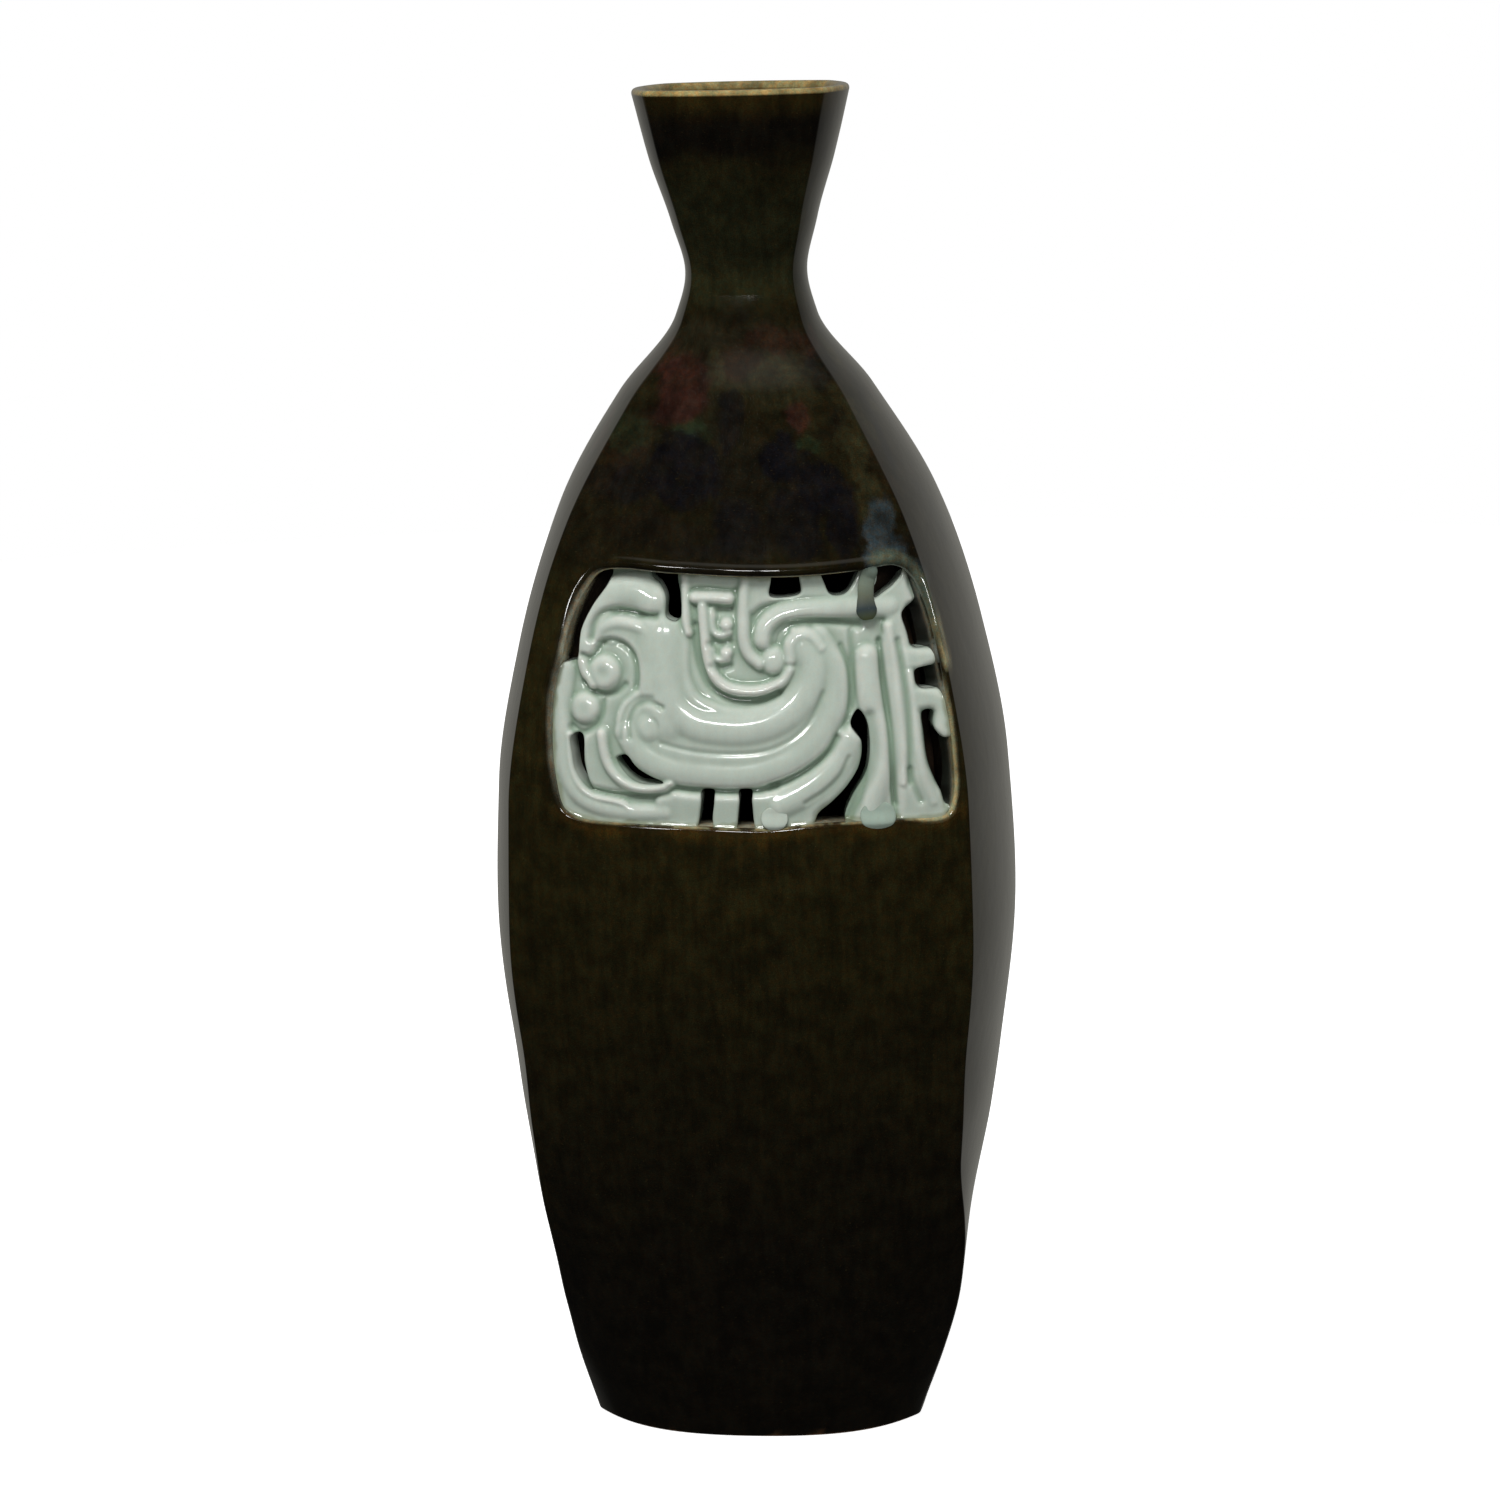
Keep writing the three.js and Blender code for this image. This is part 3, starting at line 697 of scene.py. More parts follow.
def srgb(r, g, b):
    """A colour as light, from its 0 to 255 values."""
    c = np.array([r, g, b]) / 255
    return np.where(c <= 0.04045, c / 12.92, ((c + 0.055) / 1.055) ** 2.4)


def mixed(under, over, share):
    """Colours with another laid over them, by this share at each point."""
    share = np.clip(share, 0, 1)[..., None]
    return under * (1 - share) + over * share


GLAZE = {
    "olive": srgb(35, 33, 14),
    "dark": srgb(15, 13, 10),
    "amber": srgb(70, 55, 18),
    "red": srgb(46, 28, 23),
    "sage": srgb(36, 39, 23),
    "moss": srgb(41, 41, 25),
    "green": srgb(34, 44, 27),
    "navy": srgb(15, 15, 19),
    "rust": srgb(24, 21, 13),
    "ash": srgb(37, 36, 27),
    "blue": srgb(50, 62, 67),
    "run": srgb(80, 91, 78),
    "cream": srgb(174, 174, 134),
    "jamb": srgb(176, 178, 156),
    "lip": srgb(160, 152, 104),
}

# Patches on the front shoulder: x, z, half width, half height, glaze and strength.
PATCHES = [
    (0, 330, 22, 5, "ash", 0.35), (10, 329, 9, 4, "red", 0.5), (-15, 316, 8, 11, "red", 0.95),
    (-17, 309, 6, 5, "red", 0.6), (11, 317, 8, 8, "moss", 0.75), (-6, 320, 3, 7, "moss", 0.6),
    (-1.5, 307, 4, 10, "navy", 0.7), (-12, 303, 5, 3.5, "green", 0.9), (17.5, 309, 3, 3, "red", 0.8),
    (21, 302, 4, 2.5, "green", 0.8), (-30, 305, 7, 6, "green", 0.6), (-15, 294, 12, 9, "navy", 0.95),
    (-31, 290, 8, 5, "navy", 0.5), (13.5, 298, 5.5, 7.5, "navy", 1.0), (24, 291, 7, 8.5, "navy", 1.0),
    (31, 280, 4, 11, "navy", 0.9), (17, 280, 9, 9, "navy", 0.7), (0, 281, 7, 8, "navy", 0.6),
    (7, 289.5, 4, 2, "rust", 0.8), (-22, 278, 15, 5, "rust", 0.8), (7, 275, 6, 4, "rust", 0.7),
    (-40, 285, 6, 8, "rust", 0.4), (32.5, 305, 4, 5, "moss", 0.9), (35.5, 297, 3.2, 8, "moss", 1.0),
    (38, 286, 3.2, 8, "moss", 0.9), (41, 278, 4.5, 8, "blue", 0.8), (43.5, 270, 7, 5, "blue", 0.95),
    (24, 322, 4, 8, "navy", 0.6), (22, 328, 5, 5, "red", 0.5), (51, 262, 4, 6, "blue", 0.6),
]



def glaze_paint(points, side):
    """The glaze's colour at points on the outside of the vase."""
    z = points[:, 2]
    warp = np.column_stack([noise(points, 9, 11, 3), noise(points, 9, 12, 3), noise(points, 13, 13, 2)])
    streak = noise(points * [1, 1, 0.16], 5, 21, 2)
    shoulder = ease(256, 276, z) * fade(333, 343, z)
    colour = np.tile(GLAZE["olive"], (len(points), 1))
    for name, share in (
        ("dark", 0.88 * fade(30, 200, z + 14 * warp[:, 2])),
        ("dark", 0.9 * ease(372, 384, z + 4 * warp[:, 2]) * fade(390, 397, z)),
        ("sage", 0.85 * ease(334, 344, z + 4 * warp[:, 0]) * fade(366, 380, z + 5 * warp[:, 2])),
        ("amber", 0.24 * ease(389, 399, z + 1.5 * streak)),
        ("dark", 0.5 * shoulder),
    ):
        colour = mixed(colour, GLAZE[name], share)

    # clouds of other glazes, which run down the shoulder: noise seed, size, threshold and strength
    upper = ease(284, 305, z + 10 * streak) * fade(330, 341, z)
    lower = ease(256, 268, z) * fade(296, 312, z + 12 * streak)
    runny = (points + warp * [2.2, 2.2, 4.5]) * [1, 1, 0.6]
    share_here = 0.35 if side == 0 else 1.0
    for name, belt, seed, size, cut, strength in (
        ("moss", upper, 41, 13, 0.12, 0.75), ("red", upper, 42, 15, 0.2, 0.8),
        ("ash", shoulder, 43, 9, 0.3, 0.4), ("navy", lower, 44, 16, 0.0, 0.9),
        ("rust", shoulder, 45, 11, 0.35, 0.7),
    ):
        cloud = ease(cut, cut + 0.16, noise(runny, size, seed, 2))
        colour = mixed(colour, GLAZE[name], strength * belt * share_here * cloud)
    if side == 0:
        ragged = np.column_stack([noise(points, 2.6, seed, 2) for seed in (51, 52, 53)])
        bent = points + warp * [1.6, 1.6, 2.6] + ragged * [0.9, 0.9, 1.3]
        for x, height, wide, tall, name, strength in PATCHES:
            reach = np.hypot((bent[:, 0] - x) / wide, (bent[:, 2] - height) / tall)
            share = strength * fade(0.8, 1.08, reach) * (0.85 + 0.3 * ragged[:, 0])
            colour = mixed(colour, GLAZE[name], share)
    return colour * (1 + 0.16 * streak * (0.4 + shoulder) + 0.08 * warp[:, 1])[:, None]


def front_paint(points, x, z, gap):
    """The front's glaze, with its changes round the window: it breaks pale on the edge, lies
    amber below, and runs pale down the right-hand corner."""
    grain = noise(points * [1, 1, 0.25], 2.6, 61, 2)
    broad = noise(points, 12, 62, 2)
    below = fade(199, 203, z)
    right = ease(50, 58, x) * fade(222, 240, z)
    left = fade(-44, -36, x) * (0.3 * ease(200, 215, z) + 0.5 * ease(236, 250, z))
    run = wall_window.sample(run_share, x, z) * (0.85 + 0.3 * grain)
    colour = glaze_paint(points, 0)
    for name, share in (
        ("amber", 0.75 * below * fade(0.8, 5.5 + 2.5 * grain, gap) * (0.7 + 0.5 * broad)),
        ("rust", 0.4 * fade(0.5, 3.5, gap) * fade(258, 262, z)),
        ("cream", 0.45 * fade(0.15, 0.75, gap) * below * ease(-0.5, 0.4, broad + grain)),
        ("cream", 0.85 * fade(0.3, 1.3, gap) * right),
        ("jamb", fade(0.3, 1.4, gap) * left),
        ("lip", 0.5 * fade(0.2, 0.6, gap) * ease(260, 265, z) * fade(30, 36, x)),
        ("run", run),
        ("cream", 0.9 * run * fade(241, 259, z)),
    ):
        colour = mixed(colour, GLAZE[name], share)
    return colour


# ---- Walls ----

LEVELS = np.unique(np.concatenate([
    np.linspace(BASE_TOP, 250, 81), np.linspace(250, 330, 65), np.linspace(330, NECK_SEAM, 10),
]))
FACE_COLUMNS = 72
FACE_SHARES = np.linspace(-1, 1, FACE_COLUMNS + 1)
CORNER_COLUMNS = 6
RETURN_COLUMNS = 4
# The width of the plane that the front wall's triangles are found on.
PATCH_WIDTH = 60.0


def inner_corner(z):
    """How far the inside corners lie from the axis, along x and y."""
    radius, centre = circle_at(z)
    return arris_centre(radius - smooth_through(THICKNESS, z), centre, 0)


def inner_face(share, z):
    """Points on the inside of a face; share runs from -1 to 1 between its corners."""
    radius, centre = circle_at(z)
    radius = radius - smooth_through(THICKNESS, z)
    x = share * inner_corner(z)
    return np.column_stack([x, centre - np.sqrt(radius**2 - x**2), z])


def joint_v(z):
    """Where a side wall ends, across its face."""
    return inner_corner(z) / face_half(z)


def wall_grid(columns, of=skin):
    """Points, or directions, at every level of the wall's columns of (side, v at each level)."""
    return np.stack([of(side, v(LEVELS), LEVELS) for side, v in columns], 1)


def close_ends(solid, outer, inner):
    """Closes the top, bottom and two joint faces between an outer and an inner grid."""
    for row, flip in ((0, False), (-1, True)):
        solid.part(np.stack([inner[row], outer[row]]), grid_faces(2, outer.shape[1], flip=not flip))
    for column, flip in ((0, True), (-1, False)):
        pair = np.stack([outer[:, column], inner[:, column]], 1)
        solid.part(pair, grid_faces(len(pair), 2, flip=flip))


def shell_wall(columns, side):
    """A plain wall from its outside columns, whose inside is this side's."""
    solid = Solid()
    outer = wall_grid(columns)
    shares = np.linspace(-1, 1, len(columns))
    inner = np.stack([turned(inner_face(share, LEVELS), side) for share in shares], 1)
    faces = grid_faces(len(LEVELS), len(columns))
    paint = glaze_paint(outer.reshape(-1, 3), side)
    solid.part(outer, faces, wall_grid(columns, skin_normals), paint)
    solid.part(inner, faces[:, ::-1])
    close_ends(solid, outer, inner)
    return solid


def constant(value):
    return lambda z: value + 0 * z


def joint_line(share):
    """A column of a side face, between its corner and the joint."""
    return lambda z: share * joint_v(z) + math.copysign(1 - abs(share), share)


def broad_columns(side):
    """The columns of a full-width wall, from the joint on one neighbour round its corner, over
    the face and round the other corner: those left of the face, on it, and right of it."""
    shares = np.linspace(1, 0, RETURN_COLUMNS + 1) + 1e-12
    steps = CORNER_COLUMNS // 2 + 1
    before, after = (side + 3) % 4, (side + 1) % 4
    left = [(before, joint_line(share)) for share in shares]
    left += [(before, constant(v)) for v in np.linspace(1, 2, steps)[1:]]
    left += [(side, constant(v)) for v in np.linspace(-2, -1, steps)[1:]]
    right = [(side if s == side else after, (lambda z, v=v: -v(z))) for s, v in left[::-1]]
    return left, [(side, constant(v)) for v in FACE_SHARES[1:-1]], right


def side_wall(side):
    shares = np.linspace(-1, 1, FACE_COLUMNS + 9)
    return shell_wall([(side, (lambda z, s=s: s * joint_v(z))) for s in shares], side)


def back_wall():
    left, middle, right = broad_columns(2)
    return shell_wall(left + middle + right, 2)


def rim_points(shares):
    """Points (share, z) round the edge of a wall: its two sides, then its top and bottom."""
    sides = [(share, z) for share in (-1, 1) for z in LEVELS]
    return np.array(sides + [(share, z) for share in shares[1:-1] for z in (LEVELS[0], LEVELS[-1])])


def away_from_window():
    """The direction square to the window's outline and out of it, at each of its points."""
    step = np.roll(WINDOW, -1, 0) - np.roll(WINDOW, 1, 0)
    away = unit(np.stack([-step[:, 1], step[:, 0]], 1))
    goes_in = line_distance(WINDOW, *(WINDOW + away * 0.2).T, True).mean() > 0
    return -away if goes_in else away


# How far round the window's rounded edge its rings of points lie, and how far beyond it.
EDGE_TURNS = np.radians([12, 25, 40, 56, 73, 90])
EDGE_BEYOND = (0.7, 1.4, 2.2, 3.1, 4.1)


def window_rings(away):
    """Points (x, z) in rings round the window, and how far round its edge each one lies."""
    radii = lip_radius(WINDOW[:, 1])
    offsets = [radii * (1 - math.cos(turn)) for turn in EDGE_TURNS]
    offsets += [radii + extra for extra in EDGE_BEYOND]
    turns = np.repeat([*EDGE_TURNS, *[math.pi / 2] * len(EDGE_BEYOND)], len(WINDOW))
    points = np.vstack([WINDOW + away * offset[:, None] for offset in offsets])
    apart = -line_distance(WINDOW, *points.T, True) > np.concatenate(offsets) * 0.97 - 1e-6
    fits = apart & (np.abs(points[:, 0]) < face_half(points[:, 1]) - 0.25)
    return points[fits], turns[fits]


def face_scatter():
    """Points (x, z) in staggered rows over the front face, closer above and below the window."""
    rows = []
    z = LEVELS[0] + 1.6
    while z < LEVELS[-1] - 0.5:
        pitch = 0.95 if 186 < z < 200 or z > 258 else 2.6
        half = float(face_half(z))
        count = max(6, round(2 * half / pitch))
        shift = 0.25 if len(rows) % 2 else -0.25
        x = (np.arange(count) + 0.5 + shift) / count * 2 - 1
        rows.append(np.column_stack([x * half, np.full(count, z)]))
        z += pitch * 0.9
    points = np.vstack(rows)
    return points[-line_distance(WINDOW, *points.T, True) > lip_radius(points[:, 1]) + 4.6]


def front_wall():
    """The front wall, with the window cut through it and its edge rounded by the glaze."""
    solid = Solid()
    left, middle, right = broad_columns(0)
    for columns in (left, right):
        outer = wall_grid(columns)
        points = outer.reshape(-1, 3)
        z = points[:, 2]
        round_corner = np.maximum(points[:, 1] + face_half(z), 0)
        x = points[:, 0] + np.sign(points[:, 0]) * round_corner
        paint = front_paint(points, x, z, window_gap(x, z))
        solid.part(outer, grid_faces(*outer.shape[:2]), wall_grid(columns, skin_normals), paint)
    last_ring = window_edge(solid, front_face(solid))

    # the inside of the wall, round the last ring of the window's edge
    shares = np.linspace(-1, 1, len(left + middle + right))
    z = WINDOW[:, 1]
    hole = np.column_stack([squeezed(WINDOW) / inner_reach(z) * PATCH_WIDTH, z])
    heights = np.arange(LEVELS[0] + 4, LEVELS[-1] - 2, 5.0)
    free = np.array([(share, z) for z in heights for share in np.linspace(-0.95, 0.95, 25)])
    free = free * [PATCH_WIDTH, 1]
    free = free[line_distance(hole, *free.T, True) < -2]
    plane, faces = triangulated_round(hole, np.vstack([rim_points(shares) * [PATCH_WIDTH, 1], free]))
    points = inner_face(plane[:, 0] / PATCH_WIDTH, plane[:, 1])
    points[: len(hole)] = last_ring
    solid.part(points, faces[:, ::-1])
    inner = np.stack([inner_face(share, LEVELS) for share in shares], 1)
    close_ends(solid, wall_grid(left + middle + right), inner)
    return solid


def front_face(solid):
    """Adds the face: its rim, the window's outline, rings round that, and scattered points.
    Gives the directions that the surface faces along the outline, into the window."""
    away = away_from_window()
    ring_points, ring_turn = window_rings(away)
    xz = np.vstack([ring_points, face_scatter()])
    rim = rim_points(FACE_SHARES) * [PATCH_WIDTH, 1]
    plane = [np.column_stack([p[:, 0] / face_half(p[:, 1]) * PATCH_WIDTH, p[:, 1]]) for p in (WINDOW, xz)]
    plane, faces = triangulated_round(plane[0], np.vstack([plane[1], rim]))
    v, z = plane[:, 0] / PATCH_WIDTH, plane[:, 1]
    points, normals = skin(0, v, z), skin_normals(0, v, z)
    count = len(WINDOW)
    points[:count] = in_wall(*WINDOW.T, lip_radius(WINDOW[:, 1]))
    _, _, across, up, out = face_frame(*WINDOW.T)
    normals[:count] = -(across * away[:, :1] + up * away[:, 1:])

    # on the rounded edge, normals turn from facing into the window to facing out of the wall
    rings = slice(count, count + len(ring_points))
    _, _, across, up, out = face_frame(*ring_points.T)
    slope_up, slope_across = np.gradient(window_distance, wall_window.step)
    slope = unit(np.column_stack([wall_window.sample(s, *ring_points.T) for s in (slope_across, slope_up)]))
    inwards = across * slope[:, :1] + up * slope[:, 1:]
    turn = ring_turn[:, None]
    rolled = unit(np.sin(turn) * out + np.cos(turn) * inwards)
    normals[rings] = np.where(turn < math.pi / 2 - 0.01, rolled, normals[rings])
    x = v * face_half(z)
    gap = np.maximum(-line_distance(WINDOW, x, z, True), 0)
    solid.part(points, faces, normals, front_paint(points, x, z, gap))
    return normals[:count]


def inner_reach(z):
    """How far the inside of the front wall reaches from its middle, as measured outside."""
    radius = circle_at(z)[0]
    return inner_corner(z) * radius / (radius - smooth_through(THICKNESS, z))


def squeezed(outline):
    """The x of an outline's points, kept clear of the inside corners."""
    limit = inner_reach(outline[:, 1]) - 1.0
    return np.clip(outline[:, 0], -limit, limit)


def window_edge(solid, towards):
    """Adds the edge of the window through the wall, and gives its innermost ring."""
    x, z = WINDOW.T
    far = ease(20, 40, x)
    radii = lip_radius(z)
    rows, shades = [], []
    for s in np.linspace(0, 1, 9):
        depth = radii + (smooth_through(THICKNESS, z) - radii) * s
        rows.append(in_wall(x * (1 - s) + squeezed(WINDOW) * s, z, depth))
        # the cut's colour: the pale jamb glaze near the front, painted darker deeper into the wall as shade
        # in the opening, and dark along the top
        pale = (0.85 * fade(0.3, 1.0, s) + 0.1) * (1 - far) + 0.35 * fade(0.03, 0.3, s) * far
        shade = mixed(GLAZE["dark"], GLAZE["jamb"], pale)
        shades.append(mixed(shade, GLAZE["dark"], ease(262, 265, z)))
    rows = np.stack(rows)
    faces, normals = facing(rows, grid_faces(len(rows), len(WINDOW), wrap=True), towards)
    normals[0] = towards
    solid.part(rows, faces, normals, shades)
    return rows[-1]


# ---- Neck collar and base slab ----

# The columns of a full ring: across each face, then round the corner after it.
RING_V = np.concatenate([np.linspace(-1, 1, 49), np.linspace(1, 3, 2 * CORNER_COLUMNS + 1)[1:-1]])


def skin_rings(heights, of=skin):
    """Rings of points, or directions, round the outside of the whole vase."""
    return np.stack([np.vstack([of(side, RING_V, z) for side in range(4)]) for z in heights])


def level_ring(z, inset, arris):
    """A ring round the vase at one height, set in from its plain form."""
    radius, centre = circle_at(z)
    points = section(RING_V, radius - inset, centre, arris)[0]
    quarter = np.column_stack([points, np.full(len(RING_V), z)])
    return np.vstack([turned(quarter, side) for side in range(4)])


def neck_collar():
    """The collar, with its lip rounded over from the outside to the inside."""
    solid = Solid()
    half = LIP_THICKNESS / 2
    heights = np.concatenate([np.linspace(NECK_SEAM, 392, 44), np.linspace(393, HEIGHT - half, 7)])
    outer, outward = skin_rings(heights), skin_rings(heights, skin_normals)
    points = outer.reshape(-1, 3)
    rim_share = ease(HEIGHT - 1.7, HEIGHT - 0.6, points[:, 2])
    paint = mixed(glaze_paint(points, 1), GLAZE["lip"] * 0.9, rim_share)
    width = outer.shape[1]
    solid.part(outer, grid_faces(len(heights), width, wrap=True), outward, paint)

    top = heights[-1]
    outer_arris = float(smooth_through(ARRIS, top))
    shift = outer[-1] - level_ring(top, 0, outer_arris)
    rim, shades = [outer[-1]], [GLAZE["lip"]]
    for turn in np.radians(np.arange(15, 181, 15)):
        share = (1 - math.cos(turn)) / 2
        z = HEIGHT - half + half * math.sin(turn)
        arris = outer_arris + (INNER_ARRIS - outer_arris) * share
        ring = level_ring(top + (z - top) * 0.999, LIP_THICKNESS * share, arris)
        ring[:, 2] = z
        rim.append(ring + shift * (1 - share))
        shades.append(GLAZE["lip"] * (1 - 0.35 * share))
    inside, tones = [rim[-1]], [shades[-1]]
    for z in heights[::-1][1:]:
        inside.append(level_ring(z, float(smooth_through(THICKNESS, z)), INNER_ARRIS))
        deep = ease(360, 398, z)
        tones.append(GLAZE["amber"] * deep * 0.9 + GLAZE["dark"] * (1 - deep))
    rim, inside = np.stack(rim), np.stack(inside)
    rim_faces, inside_faces = (grid_faces(len(rows), width, wrap=True) for rows in (rim, inside))
    rim_normals, inside_normals = smooth_normals(rim, rim_faces), smooth_normals(inside, inside_faces)
    rim_normals[0] = outward[-1]
    rim_normals[-1] = inside_normals[0] = unit(inside_normals[0] + rim_normals[-1])
    solid.part(rim, rim_faces, rim_normals, np.repeat(shades, width, axis=0))
    solid.part(inside, inside_faces, inside_normals, np.repeat(tones, width, axis=0))
    solid.part(np.stack([inside[-1], outer[0]]), grid_faces(2, width, wrap=True))
    return solid


# The underside: how far in from its edge each ring lies, and its height.
UNDERSIDE = [
    (2.0, 0.0), (8.0, 0.0), (8.6, 0.25), (9.4, 1.5), (10.2, 2.0), (16, 2.1), (24, 2.2), (34, 2.2), (44, 2.2),
]


def base_slab():
    """The slab that the walls stand on, with a turned foot ring and a shallow hollow under it."""
    solid = Solid()
    round_edge = FOOT_ROUND * (1 - np.cos(np.radians(np.arange(0, 91, 15))))
    heights = np.concatenate([round_edge, [3, 5, 7.5, BASE_TOP]])
    outer, outward = skin_rings(heights), skin_rings(heights, skin_normals)
    outward[0] = [0, 0, -1]
    points = outer.reshape(-1, 3)
    clay = srgb(122, 96, 70)
    paint = mixed(glaze_paint(points, 1), clay, fade(0.2, 0.7, points[:, 2] + noise(points, 6, 71, 2) * 0.5))
    width = outer.shape[1]
    solid.part(outer, grid_faces(len(heights), width, wrap=True), outward, paint)
    under = [outer[0]]
    for inset, z in UNDERSIDE:
        size = 1 - (inset + FOOT_ROUND) / 55
        under.append(outer[0] * [size, size, 0] + [0, 0, z])
    under = np.stack(under)
    tint = clay * (0.9 + 0.15 * noise(under.reshape(-1, 3), 9, 72, 3))[:, None]
    solid.part(under, grid_faces(len(under), width, wrap=True, flip=True), None, tint)
    solid.fan(under[-1], under[-1].mean(0), True, clay)
    top = np.stack([outer[-1] * [size, size, 1] for size in (1, 0.8, 0.5, 0.25)])
    solid.part(top, grid_faces(len(top), width, wrap=True))
    solid.fan(top[-1], top[-1].mean(0), False, clay)
    return solid


# ---- The pierced panel ----

panel_grid = Raster(-57, 67, 191, 272, 0.25)
GROUND_HEIGHT = 0.55
HOLE_ROUND = 0.85
# How high the glaze climbs where the panel meets the wall, and over what distance it falls away.
CLIMB = 0.55
CLIMB_REACH = 0.7
# How far the panel tucks under the edge of the window.
TUCK = 0.3


def relief():
    """The panel's height above its ground, over the whole raster."""
    height = np.full(panel_grid.X.shape, GROUND_HEIGHT)
    for top, edge, points in MASSES:
        line = spline(points, True, 0.8)
        where = panel_grid.near(line, 3)
        inside = np.clip(panel_grid.distance(line, where, True), 0, edge) / edge
        rise = np.sqrt(1 - (1 - inside) ** 2)
        height[where] = soft_max(height[where], top * rise, 0.35)
    for top, half, points in BEADS:
        line = spline(points, False, 0.8)
        where = panel_grid.near(line, 2 * half)
        apart = np.clip(panel_grid.distance(line, where) / half, 0, 1)
        base = top - min(top, half * 1.15)
        bead = base + (top - base) * np.sqrt(1 - apart**2) - 3 * (apart >= 1)
        height[where] = soft_max(height[where], bead, 0.5)
    for x, z, radius, top, dish in BOSSES:
        where = panel_grid.near(np.array([[x, z]]), 1.6 * radius)
        apart = np.hypot(panel_grid.X[where] - x, panel_grid.Z[where] - z) / radius
        dome = top * np.sqrt(np.clip(1 - np.clip(apart, 0, 1) ** 2.6, 0, 1)) - 3 * (apart >= 1)
        dome -= dish * bell(apart, 0, 0.42)
        share = fade(0.55, 0.8, apart) if dish else 0
        height[where] = soft_max(height[where], dome, 0.9) * (1 - share) + dome * share
    for depth, half, points in GROOVES:
        line = spline(points, False, 0.8)
        where = panel_grid.near(line, 4 * half)
        height[where] -= depth * bell(panel_grid.distance(line, where), 0, half)
    return height


def hole_distance():
    """Distance from the panel's openings, over the raster."""
    holes = np.full(panel_grid.X.shape, 30.0)
    for points in PIERCINGS:
        line = spline(points, True, 0.5)
        where = panel_grid.near(line, 12)
        holes[where] = -soft_max(-holes[where], panel_grid.distance(line, where, True), 0.5)
    return holes


def traced(field, level):
    """The closed lines along which a field over the panel's raster has this value, in (x, z)."""
    f = field - level
    f = np.where(f == 0, 1e-9, f)
    up = f > 0
    following, spot, lines = {}, {}, []
    busy = (up[:-1, :-1] != up[1:, :-1]) | (up[:-1, :-1] != up[:-1, 1:]) | (up[:-1, :-1] != up[1:, 1:])
    for i, j in np.argwhere(busy).tolist():
        corners = ((i, j), (i, j + 1), (i + 1, j + 1), (i + 1, j))
        starts, ends = [], []
        for (ai, aj), (bi, bj) in zip(corners, corners[1:] + corners[:1]):
            if up[ai, aj] == up[bi, bj]:
                continue
            edge = (min(ai, bi), min(aj, bj), ai == bi)
            t = f[ai, aj] / (f[ai, aj] - f[bi, bj])
            x = panel_grid.x[aj] * (1 - t) + panel_grid.x[bj] * t
            z = panel_grid.z[ai] * (1 - t) + panel_grid.z[bi] * t
            spot[edge] = (x, z)
            (ends if up[ai, aj] else starts).append(edge)
        following.update(zip(starts, ends[::-1]))
    while following:
        line, here = [], next(iter(following))
        while here in following:
            line.append(spot[here])
            here = following.pop(here)
        if len(line) > 8:
            lines.append(np.array(line))
    return lines


def spaced(line):
    """A closed line's points, moved along it to lie evenly, about 0.45 apart."""
    closed = np.vstack([line, line[:1]])
    lengths = np.concatenate([[0], np.cumsum(np.linalg.norm(np.diff(closed, axis=0), axis=1))])
    count = max(8, round(lengths[-1] / 0.45))
    at = np.linspace(0, lengths[-1], count, endpoint=False)
    return np.column_stack([np.interp(at, lengths, closed[:, k]) for k in (0, 1)])


def panel_scatter(edge):
    """Points (x, z) in staggered rows over the panel, clear of its rounded edges."""
    grid, pitch, rows = panel_grid, 0.42, []
    for n, z in enumerate(np.arange(grid.z[0], grid.z[-1], pitch * 0.87)):
        x = np.arange(grid.x[0] + (pitch / 2 if n % 2 else 0), grid.x[-1], pitch)
        rows.append(np.column_stack([x, np.full(len(x), z)]))
    points = np.vstack(rows)
    return points[grid.sample(edge, *points.T) > HOLE_ROUND + 0.2]


